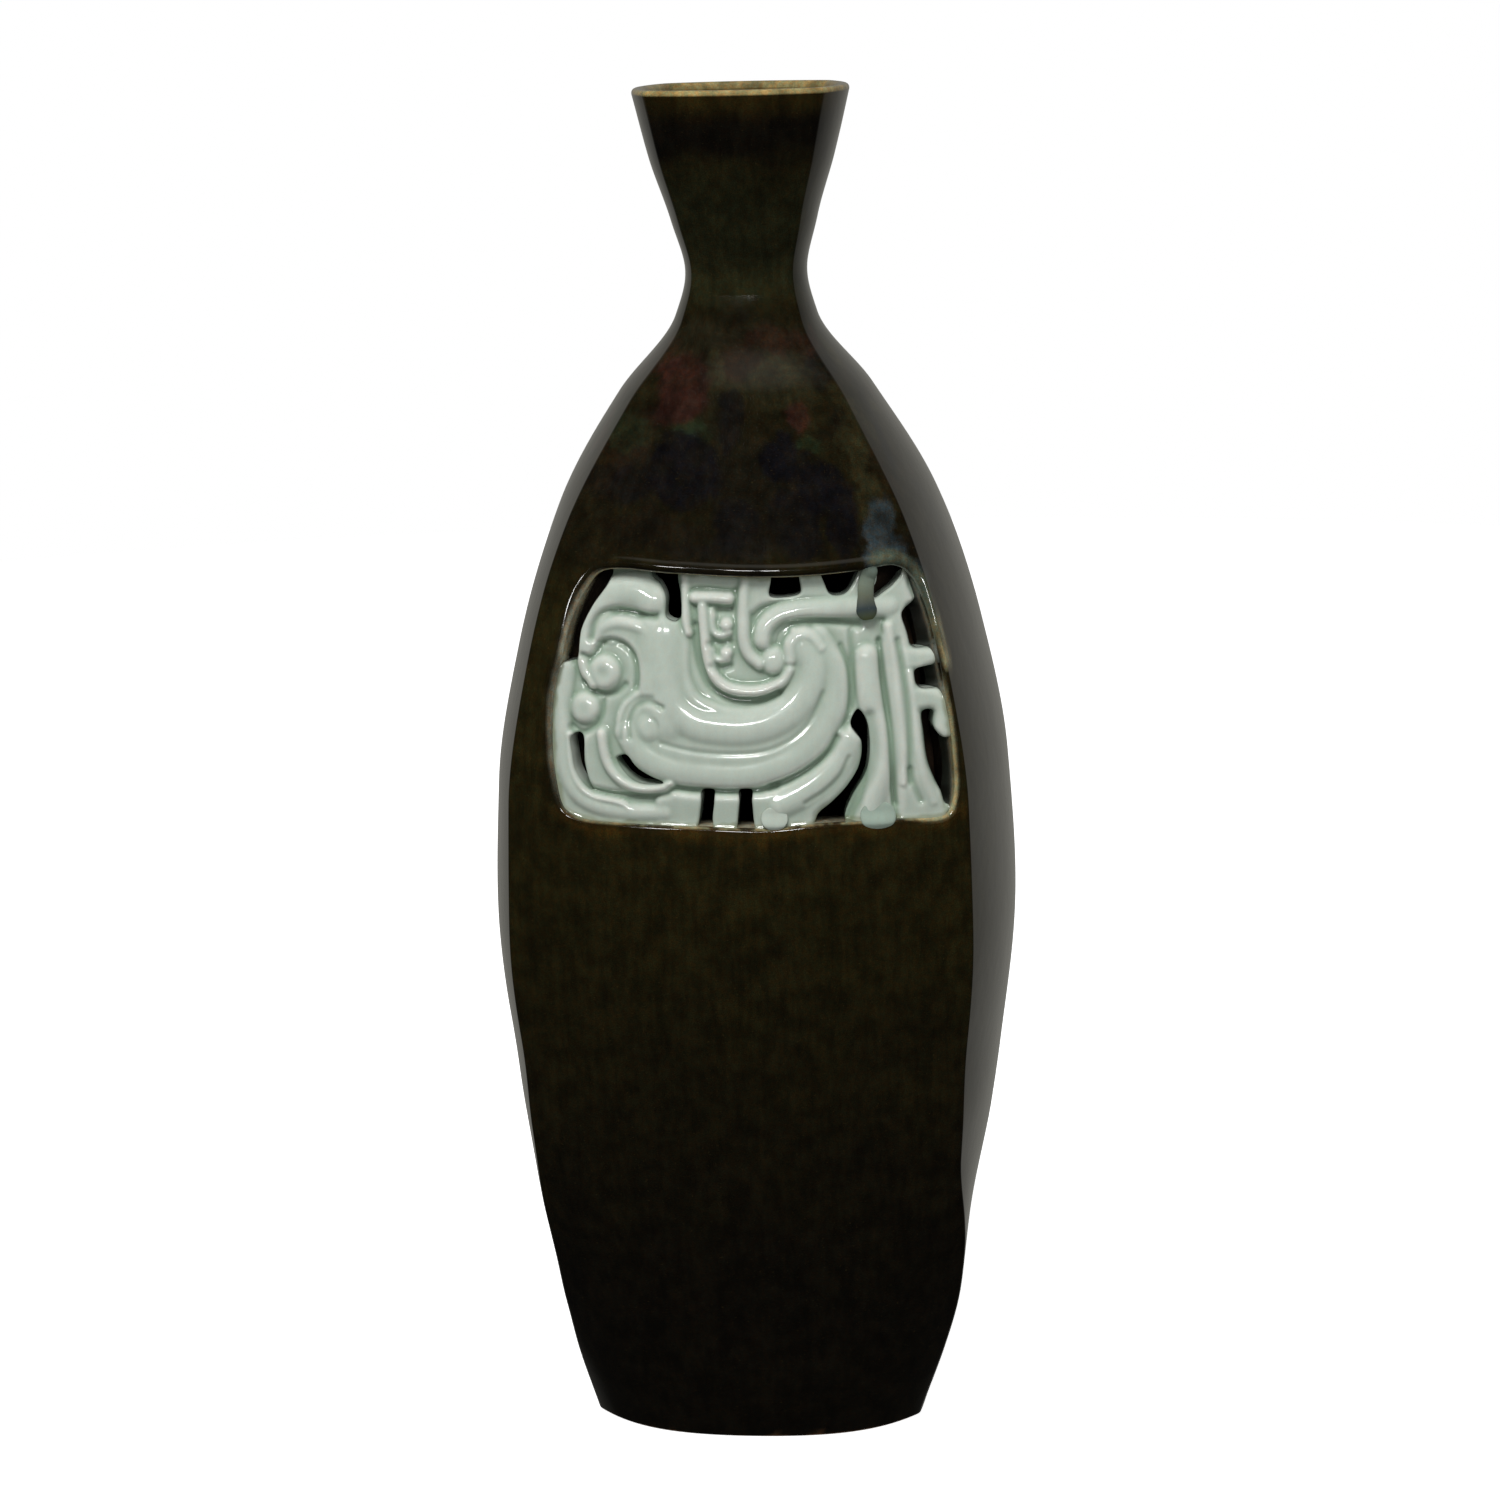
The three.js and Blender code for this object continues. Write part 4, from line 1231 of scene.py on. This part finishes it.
def openwork_panel():
    """The relief with its openings, rounded where the glaze lies over their edges."""
    solid = Solid()
    grid = panel_grid
    height = relief()
    pooled = blurred(height, 5) - height
    height = blurred(height, 1.2)
    holes, frame_gap = hole_distance(), grid.distance(WINDOW, closed=True)
    edge = -soft_max(-holes, -(frame_gap + TUCK), 0.01)
    climb = CLIMB * np.exp(-np.clip(frame_gap, 0, 9) / CLIMB_REACH)
    ground = PANEL_BOTTOM_DEPTH + (PANEL_TOP_DEPTH - PANEL_BOTTOM_DEPTH) * ease(198, 266, grid.Z)
    depth = ground + PANEL_RELIEF - height - climb

    loops = [spaced(line) for line in traced(edge, 0.0)]
    outline = np.vstack(loops)
    turns = np.radians([20, 38, 56, 73, 90])
    rings = [spaced(line) for t in turns for line in traced(edge, HOLE_ROUND * (1 - math.cos(t)))]
    scatter = panel_scatter(edge)
    xz = np.vstack([outline, *rings, scatter])
    starts = np.cumsum([0] + [len(loop) for loop in loops])
    numbered = [np.arange(a, b) for a, b in zip(starts[:-1], starts[1:])]
    faces = triangulated(xz, numbered)
    middle = xz[faces].mean(1)
    value = grid.sample(edge, *middle.T)
    keep = value > 0
    close = np.abs(value) < 0.3
    keep[close] = inside_loops(loops, middle[close])

    # the front, whose normals follow the relief's slopes and the rounding at each opening
    x, z = xz.T
    gap = np.maximum(grid.sample(holes, x, z), 0)
    left = np.clip(HOLE_ROUND - gap, 0, HOLE_ROUND)
    steep = -left / np.sqrt(np.maximum(HOLE_ROUND**2 - left**2, 1e-4))
    slopes = zip(np.gradient(depth, grid.step), np.gradient(holes, grid.step))
    tilt_z, tilt_x = (grid.sample(a, x, z) + steep * grid.sample(b, x, z) for a, b in slopes)
    _, _, across, up, out = face_frame(x, z)
    normals = unit(out + across * tilt_x[:, None] + up * tilt_z[:, None])
    points = in_wall(x, z, grid.sample(depth, x, z) + rounding(gap, HOLE_ROUND))
    paint = celadon_paint(points, *(grid.sample(field, x, z) for field in (pooled, height, frame_gap)))
    solid.part(points, faces[keep], normals, paint)

    # the edges of the openings, their celadon painted darker towards the back as shade, and the back
    back = in_wall(*outline.T, smooth_through(THICKNESS, outline[:, 1]) - PANEL_SHORT)
    shares = np.linspace(0, 1, 6)
    wall = np.stack([points[: len(outline)] * (1 - s) + back * s for s in shares])
    for numbers in numbered:
        strip = wall[:, numbers]
        strip_faces = grid_faces(len(strip), len(numbers), wrap=True, flip=True)
        strip_faces, strip_normals = facing(strip, strip_faces, normals[numbers])
        strip_normals[0] = normals[numbers]
        # painted shade: each opening's wall darkens to 65% of the front's celadon towards the back
        shade = [paint[numbers] * (1 - 0.35 * s) for s in shares]
        solid.part(strip, strip_faces, strip_normals, shade)
    rough = scatter[::9]
    plane = np.vstack([outline, rough[grid.sample(edge, *rough.T) > 0.9]])
    faces = triangulated(plane, numbered)
    faces = faces[inside_loops(loops, plane[faces].mean(1))][:, ::-1]
    behind = in_wall(*plane.T, smooth_through(THICKNESS, plane[:, 1]) - PANEL_SHORT)
    # the back is painted a darker copy of the celadon, as shade
    solid.part(behind, faces, None, srgb(150, 160, 146))
    return solid


CELADON = srgb(206, 218, 206)
CELADON_POOL = srgb(152, 174, 154)
CELADON_THIN = srgb(236, 237, 228)
OLIVE_POOL = srgb(122, 128, 92)


def celadon_paint(points, pool, level, frame_gap):
    """Celadon: green where the glaze lies thick in the hollows, pale where it thins."""
    patchy = noise(points, 14, 81, 3)
    colour = mixed(CELADON, CELADON_POOL, 0.32 + 0.95 * pool + 0.10 * patchy - 0.12 * (level - 1.8))
    colour = mixed(colour, CELADON_THIN, np.minimum(-pool * 0.9 - 0.12, 0.7))
    rim = fade(0.2, 1.4, frame_gap + 0.5 * noise(points, 3, 82, 2))
    return mixed(colour, OLIVE_POOL, 0.6 * rim) * (1 + 0.03 * patchy)[:, None]


# ---- A run of glaze over the panel's frame, and drops on the lower edge ----


def lump(rows, paint, first, last):
    """A closed solid from rings of points, with a point to close each end."""
    solid = Solid()
    faces = grid_faces(len(rows), rows.shape[1], wrap=True)
    normals = smooth_normals(rows, faces)
    inside_out = ((rows - rows.mean(1, keepdims=True)) * normals).sum() < 0
    if inside_out:
        faces, normals = faces[:, ::-1], -normals
    solid.part(rows, faces, normals, np.repeat(paint, rows.shape[1], axis=0))
    solid.fan(rows[0], first, not inside_out, paint[0])
    solid.fan(rows[-1], last, inside_out, paint[-1])
    return solid


def run_of_glaze(path, widths, heights, colours, rings=60):
    """A thick run of glaze along (x, z, depth) points of the front face. Widths, heights and
    colours are given at shares of its length."""
    p = np.array(path, float)
    lengths = np.concatenate([[0], np.cumsum(np.linalg.norm(np.diff(p, axis=0), axis=1))])
    at = np.linspace(0, lengths[-1], rings)
    x, z, depth = (smooth_through(list(zip(lengths, p[:, k])), at) for k in range(3))
    share = at / lengths[-1]
    wide, tall = (np.interp(share, *zip(*sizes)) for sizes in (widths, heights))
    ends = np.clip(np.minimum(at, lengths[-1] - at) / wide, 0, 1)
    cap = np.sqrt(1 - (1 - ends) ** 2)
    centre = in_wall(x, z, depth)
    along = unit(np.gradient(centre, axis=0))
    side = unit(np.cross(along, face_frame(x, z)[4]))
    lift = unit(np.cross(side, along))
    rows = []
    for t in np.linspace(0, 2 * math.pi, 24, endpoint=False):
        raised = tall if math.sin(t) > 0 else 0.9
        aside, above = math.cos(t) * wide * cap, math.sin(t) * raised * cap
        rows.append(centre + side * aside[:, None] + lift * above[:, None])
    rows = np.stack(rows, 1)[1:-1]
    stops, tones = zip(*colours)
    paint = np.column_stack([np.interp(share[1:-1], stops, [tone[k] for tone in tones]) for k in range(3)])
    return lump(rows, paint, rows[0].mean(0), rows[-1].mean(0))


def sill_depth(z):
    """How deep the surface lies round the window's lower edge, where the drops sit."""
    return 1.6 * ease(196.8, 201, z) + 0.5 * fade(195, 197.5, z)


def glaze_drop(x, z, wide, tall, proud, tone):
    """A rounded drop of glaze that has run over the panel's lower edge."""
    turns = np.linspace(0, 2 * math.pi, 40, endpoint=False)
    sunk = 0.6
    front, back = [], []
    for r in np.linspace(0, 1, 14)[1:]:
        px, pz = x + wide * r * np.cos(turns), z + tall * r * np.sin(turns)
        over = proud * max(1 - r**2, 0) ** 0.7
        front.append(in_wall(px, pz, sill_depth(pz) - over + 0.05))
        back.append(in_wall(px, pz, sill_depth(pz) + sunk))
    middle = np.array([x]), np.array([z])
    top, bottom = (in_wall(*middle, sill_depth(z) + off)[0] for off in (-proud, sunk))
    rows = np.array(front + back[::-1])
    return lump(rows, np.tile(tone, (len(rows), 1)), top, bottom)


# ---- Materials ----


class Nodes:
    """A short way to write the node tree of a material or a world."""

    def __init__(self, owner):
        owner.use_nodes = True
        self.owner = owner
        self.tree = owner.node_tree

    def add(self, kind, settings=(), *ordered, **named):
        """A new node: its settings, then what goes into its inputs in order, or by name."""
        node = self.tree.nodes.new("ShaderNode" + kind)
        for name, value in dict(settings).items():
            setattr(node, name, value)
        self.feed(node, dict(enumerate(ordered)))
        self.feed(node, {name.replace("_", " "): value for name, value in named.items()})
        return node

    def feed(self, node, inputs):
        for key, value in inputs.items():
            if isinstance(value, bpy.types.NodeSocket):
                self.tree.links.new(value, node.inputs[key])
            elif value is not None:
                node.inputs[key].default_value = value

    def shade(self, inputs):
        """Sets or feeds the inputs of the material's surface."""
        self.feed(self.tree.nodes["Principled BSDF"], inputs)

    def place(self):
        """Where a point is on the piece, in design millimetres."""
        where = self.add("TexCoord").outputs["Object"]
        return self.add("VectorMath", {"operation": "SCALE"}, where, Scale=1 / MM).outputs[0]

    def noise(self, place, scale, detail=2.0, stretch=None):
        if stretch:
            place = self.add("Mapping", Vector=place, Scale=stretch).outputs[0]
        return self.add("TexNoise", Vector=place, Scale=scale, Detail=detail, Roughness=0.55).outputs["Fac"]

    def between(self, value, low, high, out_low, out_high):
        smooth = {"interpolation_type": "SMOOTHSTEP"}
        return self.add("MapRange", smooth, value, low, high, out_low, out_high).outputs[0]

    def math(self, kind, a, b):
        return self.add("Math", {"operation": kind}, a, b).outputs[0]

    def mix(self, factor, a, b):
        return self.add("MixRGB", (), factor, a, b).outputs[0]

    def bump(self, height, strength, distance):
        return self.add("Bump", Height=height, Strength=strength, Distance=distance * MM).outputs[0]


def opaque(colour):
    return (*[float(c) for c in colour], 1.0)


def glaze_material(name, roughness, coat_roughness, speck, speck_share, wobble, mottle):
    n = Nodes(bpy.data.materials.new(name))
    place = n.place()
    paint = n.add("Attribute", {"attribute_name": "paint"}).outputs["Color"]
    cloud = n.between(n.noise(place, 0.16, 3), 0.3, 0.7, 1 - 1.1 * mottle, 1 + mottle)
    drawn = n.between(n.noise(place, 0.5, 3, (1, 1, 0.18)), 0.3, 0.7, 1 - 0.7 * mottle, 1 + 0.6 * mottle)
    fine = n.between(n.noise(place, 2.6, 2), 0.3, 0.7, 1 - 0.7 * mottle, 1 + 0.7 * mottle)
    tone = n.math("MULTIPLY", n.math("MULTIPLY", cloud, drawn), fine)
    toned = n.add("VectorMath", {"operation": "SCALE"}, paint, Scale=tone).outputs[0]
    warmth = (1 + 0.9 * mottle, 1 - 0.3 * mottle, 1 - 0.9 * mottle)
    warmer = n.add("VectorMath", {"operation": "MULTIPLY"}, toned, warmth).outputs[0]
    glaze = n.mix(n.between(n.noise(place, 0.9, 3), 0.42, 0.6, 0, 1), toned, warmer)
    specks = n.between(n.noise(place, 1.9, 1), 0.70, 0.78, 0, speck_share)
    peel = n.noise(place, 0.11, 2)
    n.shade({
        "Base Color": n.mix(specks, glaze, opaque(speck)),
        "Roughness": n.between(n.noise(place, 0.25, 2), 0.3, 0.7, roughness * 0.8, roughness * 1.25),
        "Coat Weight": 1.0,
        "Coat Roughness": coat_roughness,
        "Coat IOR": 1.5,
        "IOR": 1.45,
        "Normal": n.bump(peel, wobble, 0.8),
        "Coat Normal": n.bump(peel, wobble, 0.8),
    })
    return n.owner


def clay_material(name, base, dark, grit):
    n = Nodes(bpy.data.materials.new(name))
    place = n.place()
    tone = n.noise(place, 0.12, 4)
    body = n.mix(n.between(tone, 0.35, 0.65, 0, 1), opaque(base), opaque(dark))
    grains = n.between(n.noise(place, 2.2, 2), 0.6, 0.72, 0, 0.6)
    n.shade({
        "Base Color": n.mix(grains, body, opaque(grit)),
        "Roughness": n.between(tone, 0.3, 0.7, 0.75, 0.95),
        "Normal": n.bump(n.noise(place, 1.2, 4), 0.35, 0.5),
    })
    return n.owner


dark_glaze = glaze_material("dark_glaze", 0.12, 0.05, srgb(84, 72, 40), 0.3, 0.10, 0.28)
celadon = glaze_material("celadon", 0.16, 0.03, srgb(190, 196, 182), 0.1, 0.04, 0.03)
# The coils' clay: a clay colour painted far darker than the bare clay of the foot, as shade inside the vase.
inner_clay = clay_material("inner_clay", srgb(52, 38, 27), srgb(34, 25, 18), srgb(78, 62, 46))

# ---- The pieces ----

back_wall().build("back_wall_glazed", "back_wall", "dark_glaze", dark_glaze)
side_wall(1).build("right_wall_glazed", "right_wall", "dark_glaze", dark_glaze)
side_wall(3).build("left_wall_glazed", "left_wall", "dark_glaze", dark_glaze)
front_wall().build("front_wall_glazed", "front_wall", "dark_glaze", dark_glaze)
neck_collar().build("neck_collar_glazed", "neck_collar", "dark_glaze", dark_glaze)
base_slab().build("base_slab_footed", "base_slab", "foot_clay", dark_glaze)
openwork_panel().build("openwork_panel_carved", "openwork_panel", "celadon_glaze", celadon)

RUN_PATH = [
    (39.4, 268.6, 0.7), (38.8, 266.6, 1.3), (38.2, 264.4, 2.5), (37.8, 261, 2.9), (37.9, 257.6, 3.0),
    (38.6, 252.8, 3.0),
]
RUN_WIDTHS = [(0, 2.1), (0.3, 2.3), (0.6, 2.3), (0.8, 3.0), (1, 3.0)]
RUN_HEIGHTS = [(0, 0.7), (0.3, 0.9), (1, 1.0)]
RUN_COLOURS = [
    (0, srgb(112, 128, 118)), (0.4, srgb(126, 138, 122)), (0.6, srgb(108, 114, 98)),
    (0.8, srgb(66, 78, 82) * 0.8), (1, srgb(84, 92, 60)),
]
DROPS = [
    ("celadon_drop_large", 40.8, 199.0, 5.0, 4.4, 1.0, CELADON * [0.62, 0.69, 0.66]),
    ("celadon_drop_small", 11.5, 199.2, 3.8, 3.3, 0.6, CELADON * 0.8 + CELADON_POOL * 0.1),
]
glaze_run = run_of_glaze(RUN_PATH, RUN_WIDTHS, RUN_HEIGHTS, RUN_COLOURS)
glaze_run.build("glaze_run", None, "celadon_glaze", celadon)
for name, *form in DROPS:
    glaze_drop(*form).build(name, None, "celadon_glaze", celadon)

# the coils inside get the clay that is painted dark as shade
corners = ("front_right", "back_right", "back_left", "front_left")
for name in ("base_coil", "neck_coil", *(f"coil_{corner}" for corner in corners)):
    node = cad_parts[name]
    node.data.materials.clear()
    node.data.materials.append(inner_clay)

# ---- Floor, lights and studio, in metres ----

VASE_MIDDLE = (0, 0, 0.23)
LAMP_AIM = Vector((0, -0.065, 0.25))
LAMP_DISTANCE = 1.6
LAMP_HEIGHT = 0.16
LAMP_WATTS = 2.0
# The bearing and width of each lamp in a set.
LAMPS = ((-19.5, 0.15), (-4.6, 0.15), (2.2, 0.11))


def floor():
    bpy.ops.mesh.primitive_circle_add(vertices=96, radius=1.6, fill_type="NGON", location=(0, 0, cad_low.z))
    disc = bpy.context.object
    disc.name = "floor"
    n = Nodes(bpy.data.materials.new("pale_floor"))
    n.shade({
        "Base Color": (0.9, 0.9, 0.89, 1),
        "Roughness": 0.9,
        "Emission Color": (1, 1, 1, 1),
        "Emission Strength": 0.9,
    })
    disc.data.materials.append(n.owner)
    disc.visible_glossy = False
    disc.visible_diffuse = False


def area_light(name, place, aim, width, height, watts):
    data = bpy.data.lights.new(name, "AREA")
    data.shape = "RECTANGLE"
    data.size, data.size_y = width, height
    data.energy = watts
    light = bpy.data.objects.new(name, data)
    bpy.context.scene.collection.objects.link(light)
    light.location = place
    light.rotation_euler = (Vector(aim) - Vector(place)).to_track_quat("-Z", "Y").to_euler()
    light.visible_camera = False
    return light


def lamp_for(name, bearing, elevation, width, pieces):
    """A small lamp that only these pieces mirror. Its bearing is from the front to the right."""
    turn, rise = math.radians(bearing), math.radians(elevation)
    reach = LAMP_DISTANCE * math.cos(rise)
    along = Vector((reach * math.sin(turn), -reach * math.cos(turn), LAMP_DISTANCE * math.sin(rise)))
    lamp = area_light(name, LAMP_AIM + along, LAMP_AIM, width, LAMP_HEIGHT, LAMP_WATTS)
    lamp.visible_diffuse = False
    group = bpy.data.collections.new(name + "_receivers")
    for piece in pieces:
        group.objects.link(bpy.data.objects[piece])
    lamp.light_linking.receiver_collection = group


floor()
for name, place, width, height, watts in (
    ("key_soft", (-0.35, -0.85, 1.95), 1.0, 0.7, 28.5),
    ("fill_soft", (1.0, -1.2, 0.7), 0.9, 0.9, 3.5),
):
    area_light(name, place, VASE_MIDDLE, width, height, watts).visible_glossy = False

# Two sets of small lamps give the celadon and the window's upper lip their crisp highlights.
for group, elevation, pieces in (
    ("panel", 38, ("openwork_panel_carved", "glaze_run")), ("lip", 20, ("front_wall_glazed",)),
):
    for number, (bearing, width) in enumerate(LAMPS):
        lamp_for(f"lamp_{group}_{number}", bearing, elevation, width, pieces)


def studio():
    """White behind the vase, an even light on it, and a dim room in its reflections, brighter
    behind it and straight above."""
    world = bpy.data.worlds.new("studio")
    bpy.context.scene.world = world
    n = Nodes(world)
    n.tree.nodes.clear()
    ray = n.add("LightPath").outputs
    toward = n.add("SeparateXYZ", (), n.add("TexCoord").outputs["Generated"]).outputs
    sides = n.between(toward["Y"], 0.2, 1.1, 0.012, 0.2)
    above = n.between(toward["Z"], 0.93, 0.995, 0.0, 0.25)
    number = {"data_type": "FLOAT"}
    mirrored = n.math("ADD", sides, above)
    unseen = n.add("Mix", number, ray["Is Diffuse Ray"], None, mirrored, 0.22).outputs[0]
    strength = n.add("Mix", number, ray["Is Camera Ray"], None, unseen, 1.0).outputs[0]
    tint = n.add("Mix", {"data_type": "RGBA"}, ray["Is Glossy Ray"])
    n.feed(tint, {6: (1, 1, 1, 1), 7: (1, 0.98, 0.88, 1)})
    background = n.add("Background", (), tint.outputs[2], strength)
    n.add("OutputWorld", (), background.outputs[0])


studio()
scene = bpy.context.scene
scene.view_settings.view_transform = "Standard"
scene.view_settings.look = "None"

# ---- Camera ----

# It stands a little to the right of the front and above the rim, tipped down, and is turned
# slightly about its own axis. Distances are in design millimetres, and FOCAL and SIDEWAYS are
# shares of the picture's width.
DISTANCE = 1000.0
BEARING = math.radians(5.08)
EYE = 441.14
PITCH = 0.2355517
ROLL = 0.0238755
FOCAL = 3377.2 / 1500
SIDEWAYS = 6.07 / 1500
SENSOR = 36

camera_data = bpy.data.cameras.new("camera")
camera = bpy.data.objects.new("camera", camera_data)
scene.collection.objects.link(camera)
scene.camera = camera
camera_data.sensor_width = SENSOR
camera_data.lens = SENSOR * FOCAL
camera_data.shift_x = -SIDEWAYS
camera_data.clip_start, camera_data.clip_end = 0.05, 50
ahead = Vector((-math.sin(BEARING), math.cos(BEARING), 0))
right_hand = Vector((math.cos(BEARING), math.sin(BEARING), 0))
camera.location = Vector(ORIGIN) - ahead * DISTANCE * MM
camera.location.z += EYE * MM
overhead = ahead * math.sin(PITCH) + Vector((0, 0, math.cos(PITCH)))
forward = ahead * math.cos(PITCH) - Vector((0, 0, math.sin(PITCH)))
turn = Matrix((right_hand, overhead, -forward)).transposed() @ Matrix.Rotation(-ROLL, 3, "Z")
camera.rotation_euler = turn.to_euler()
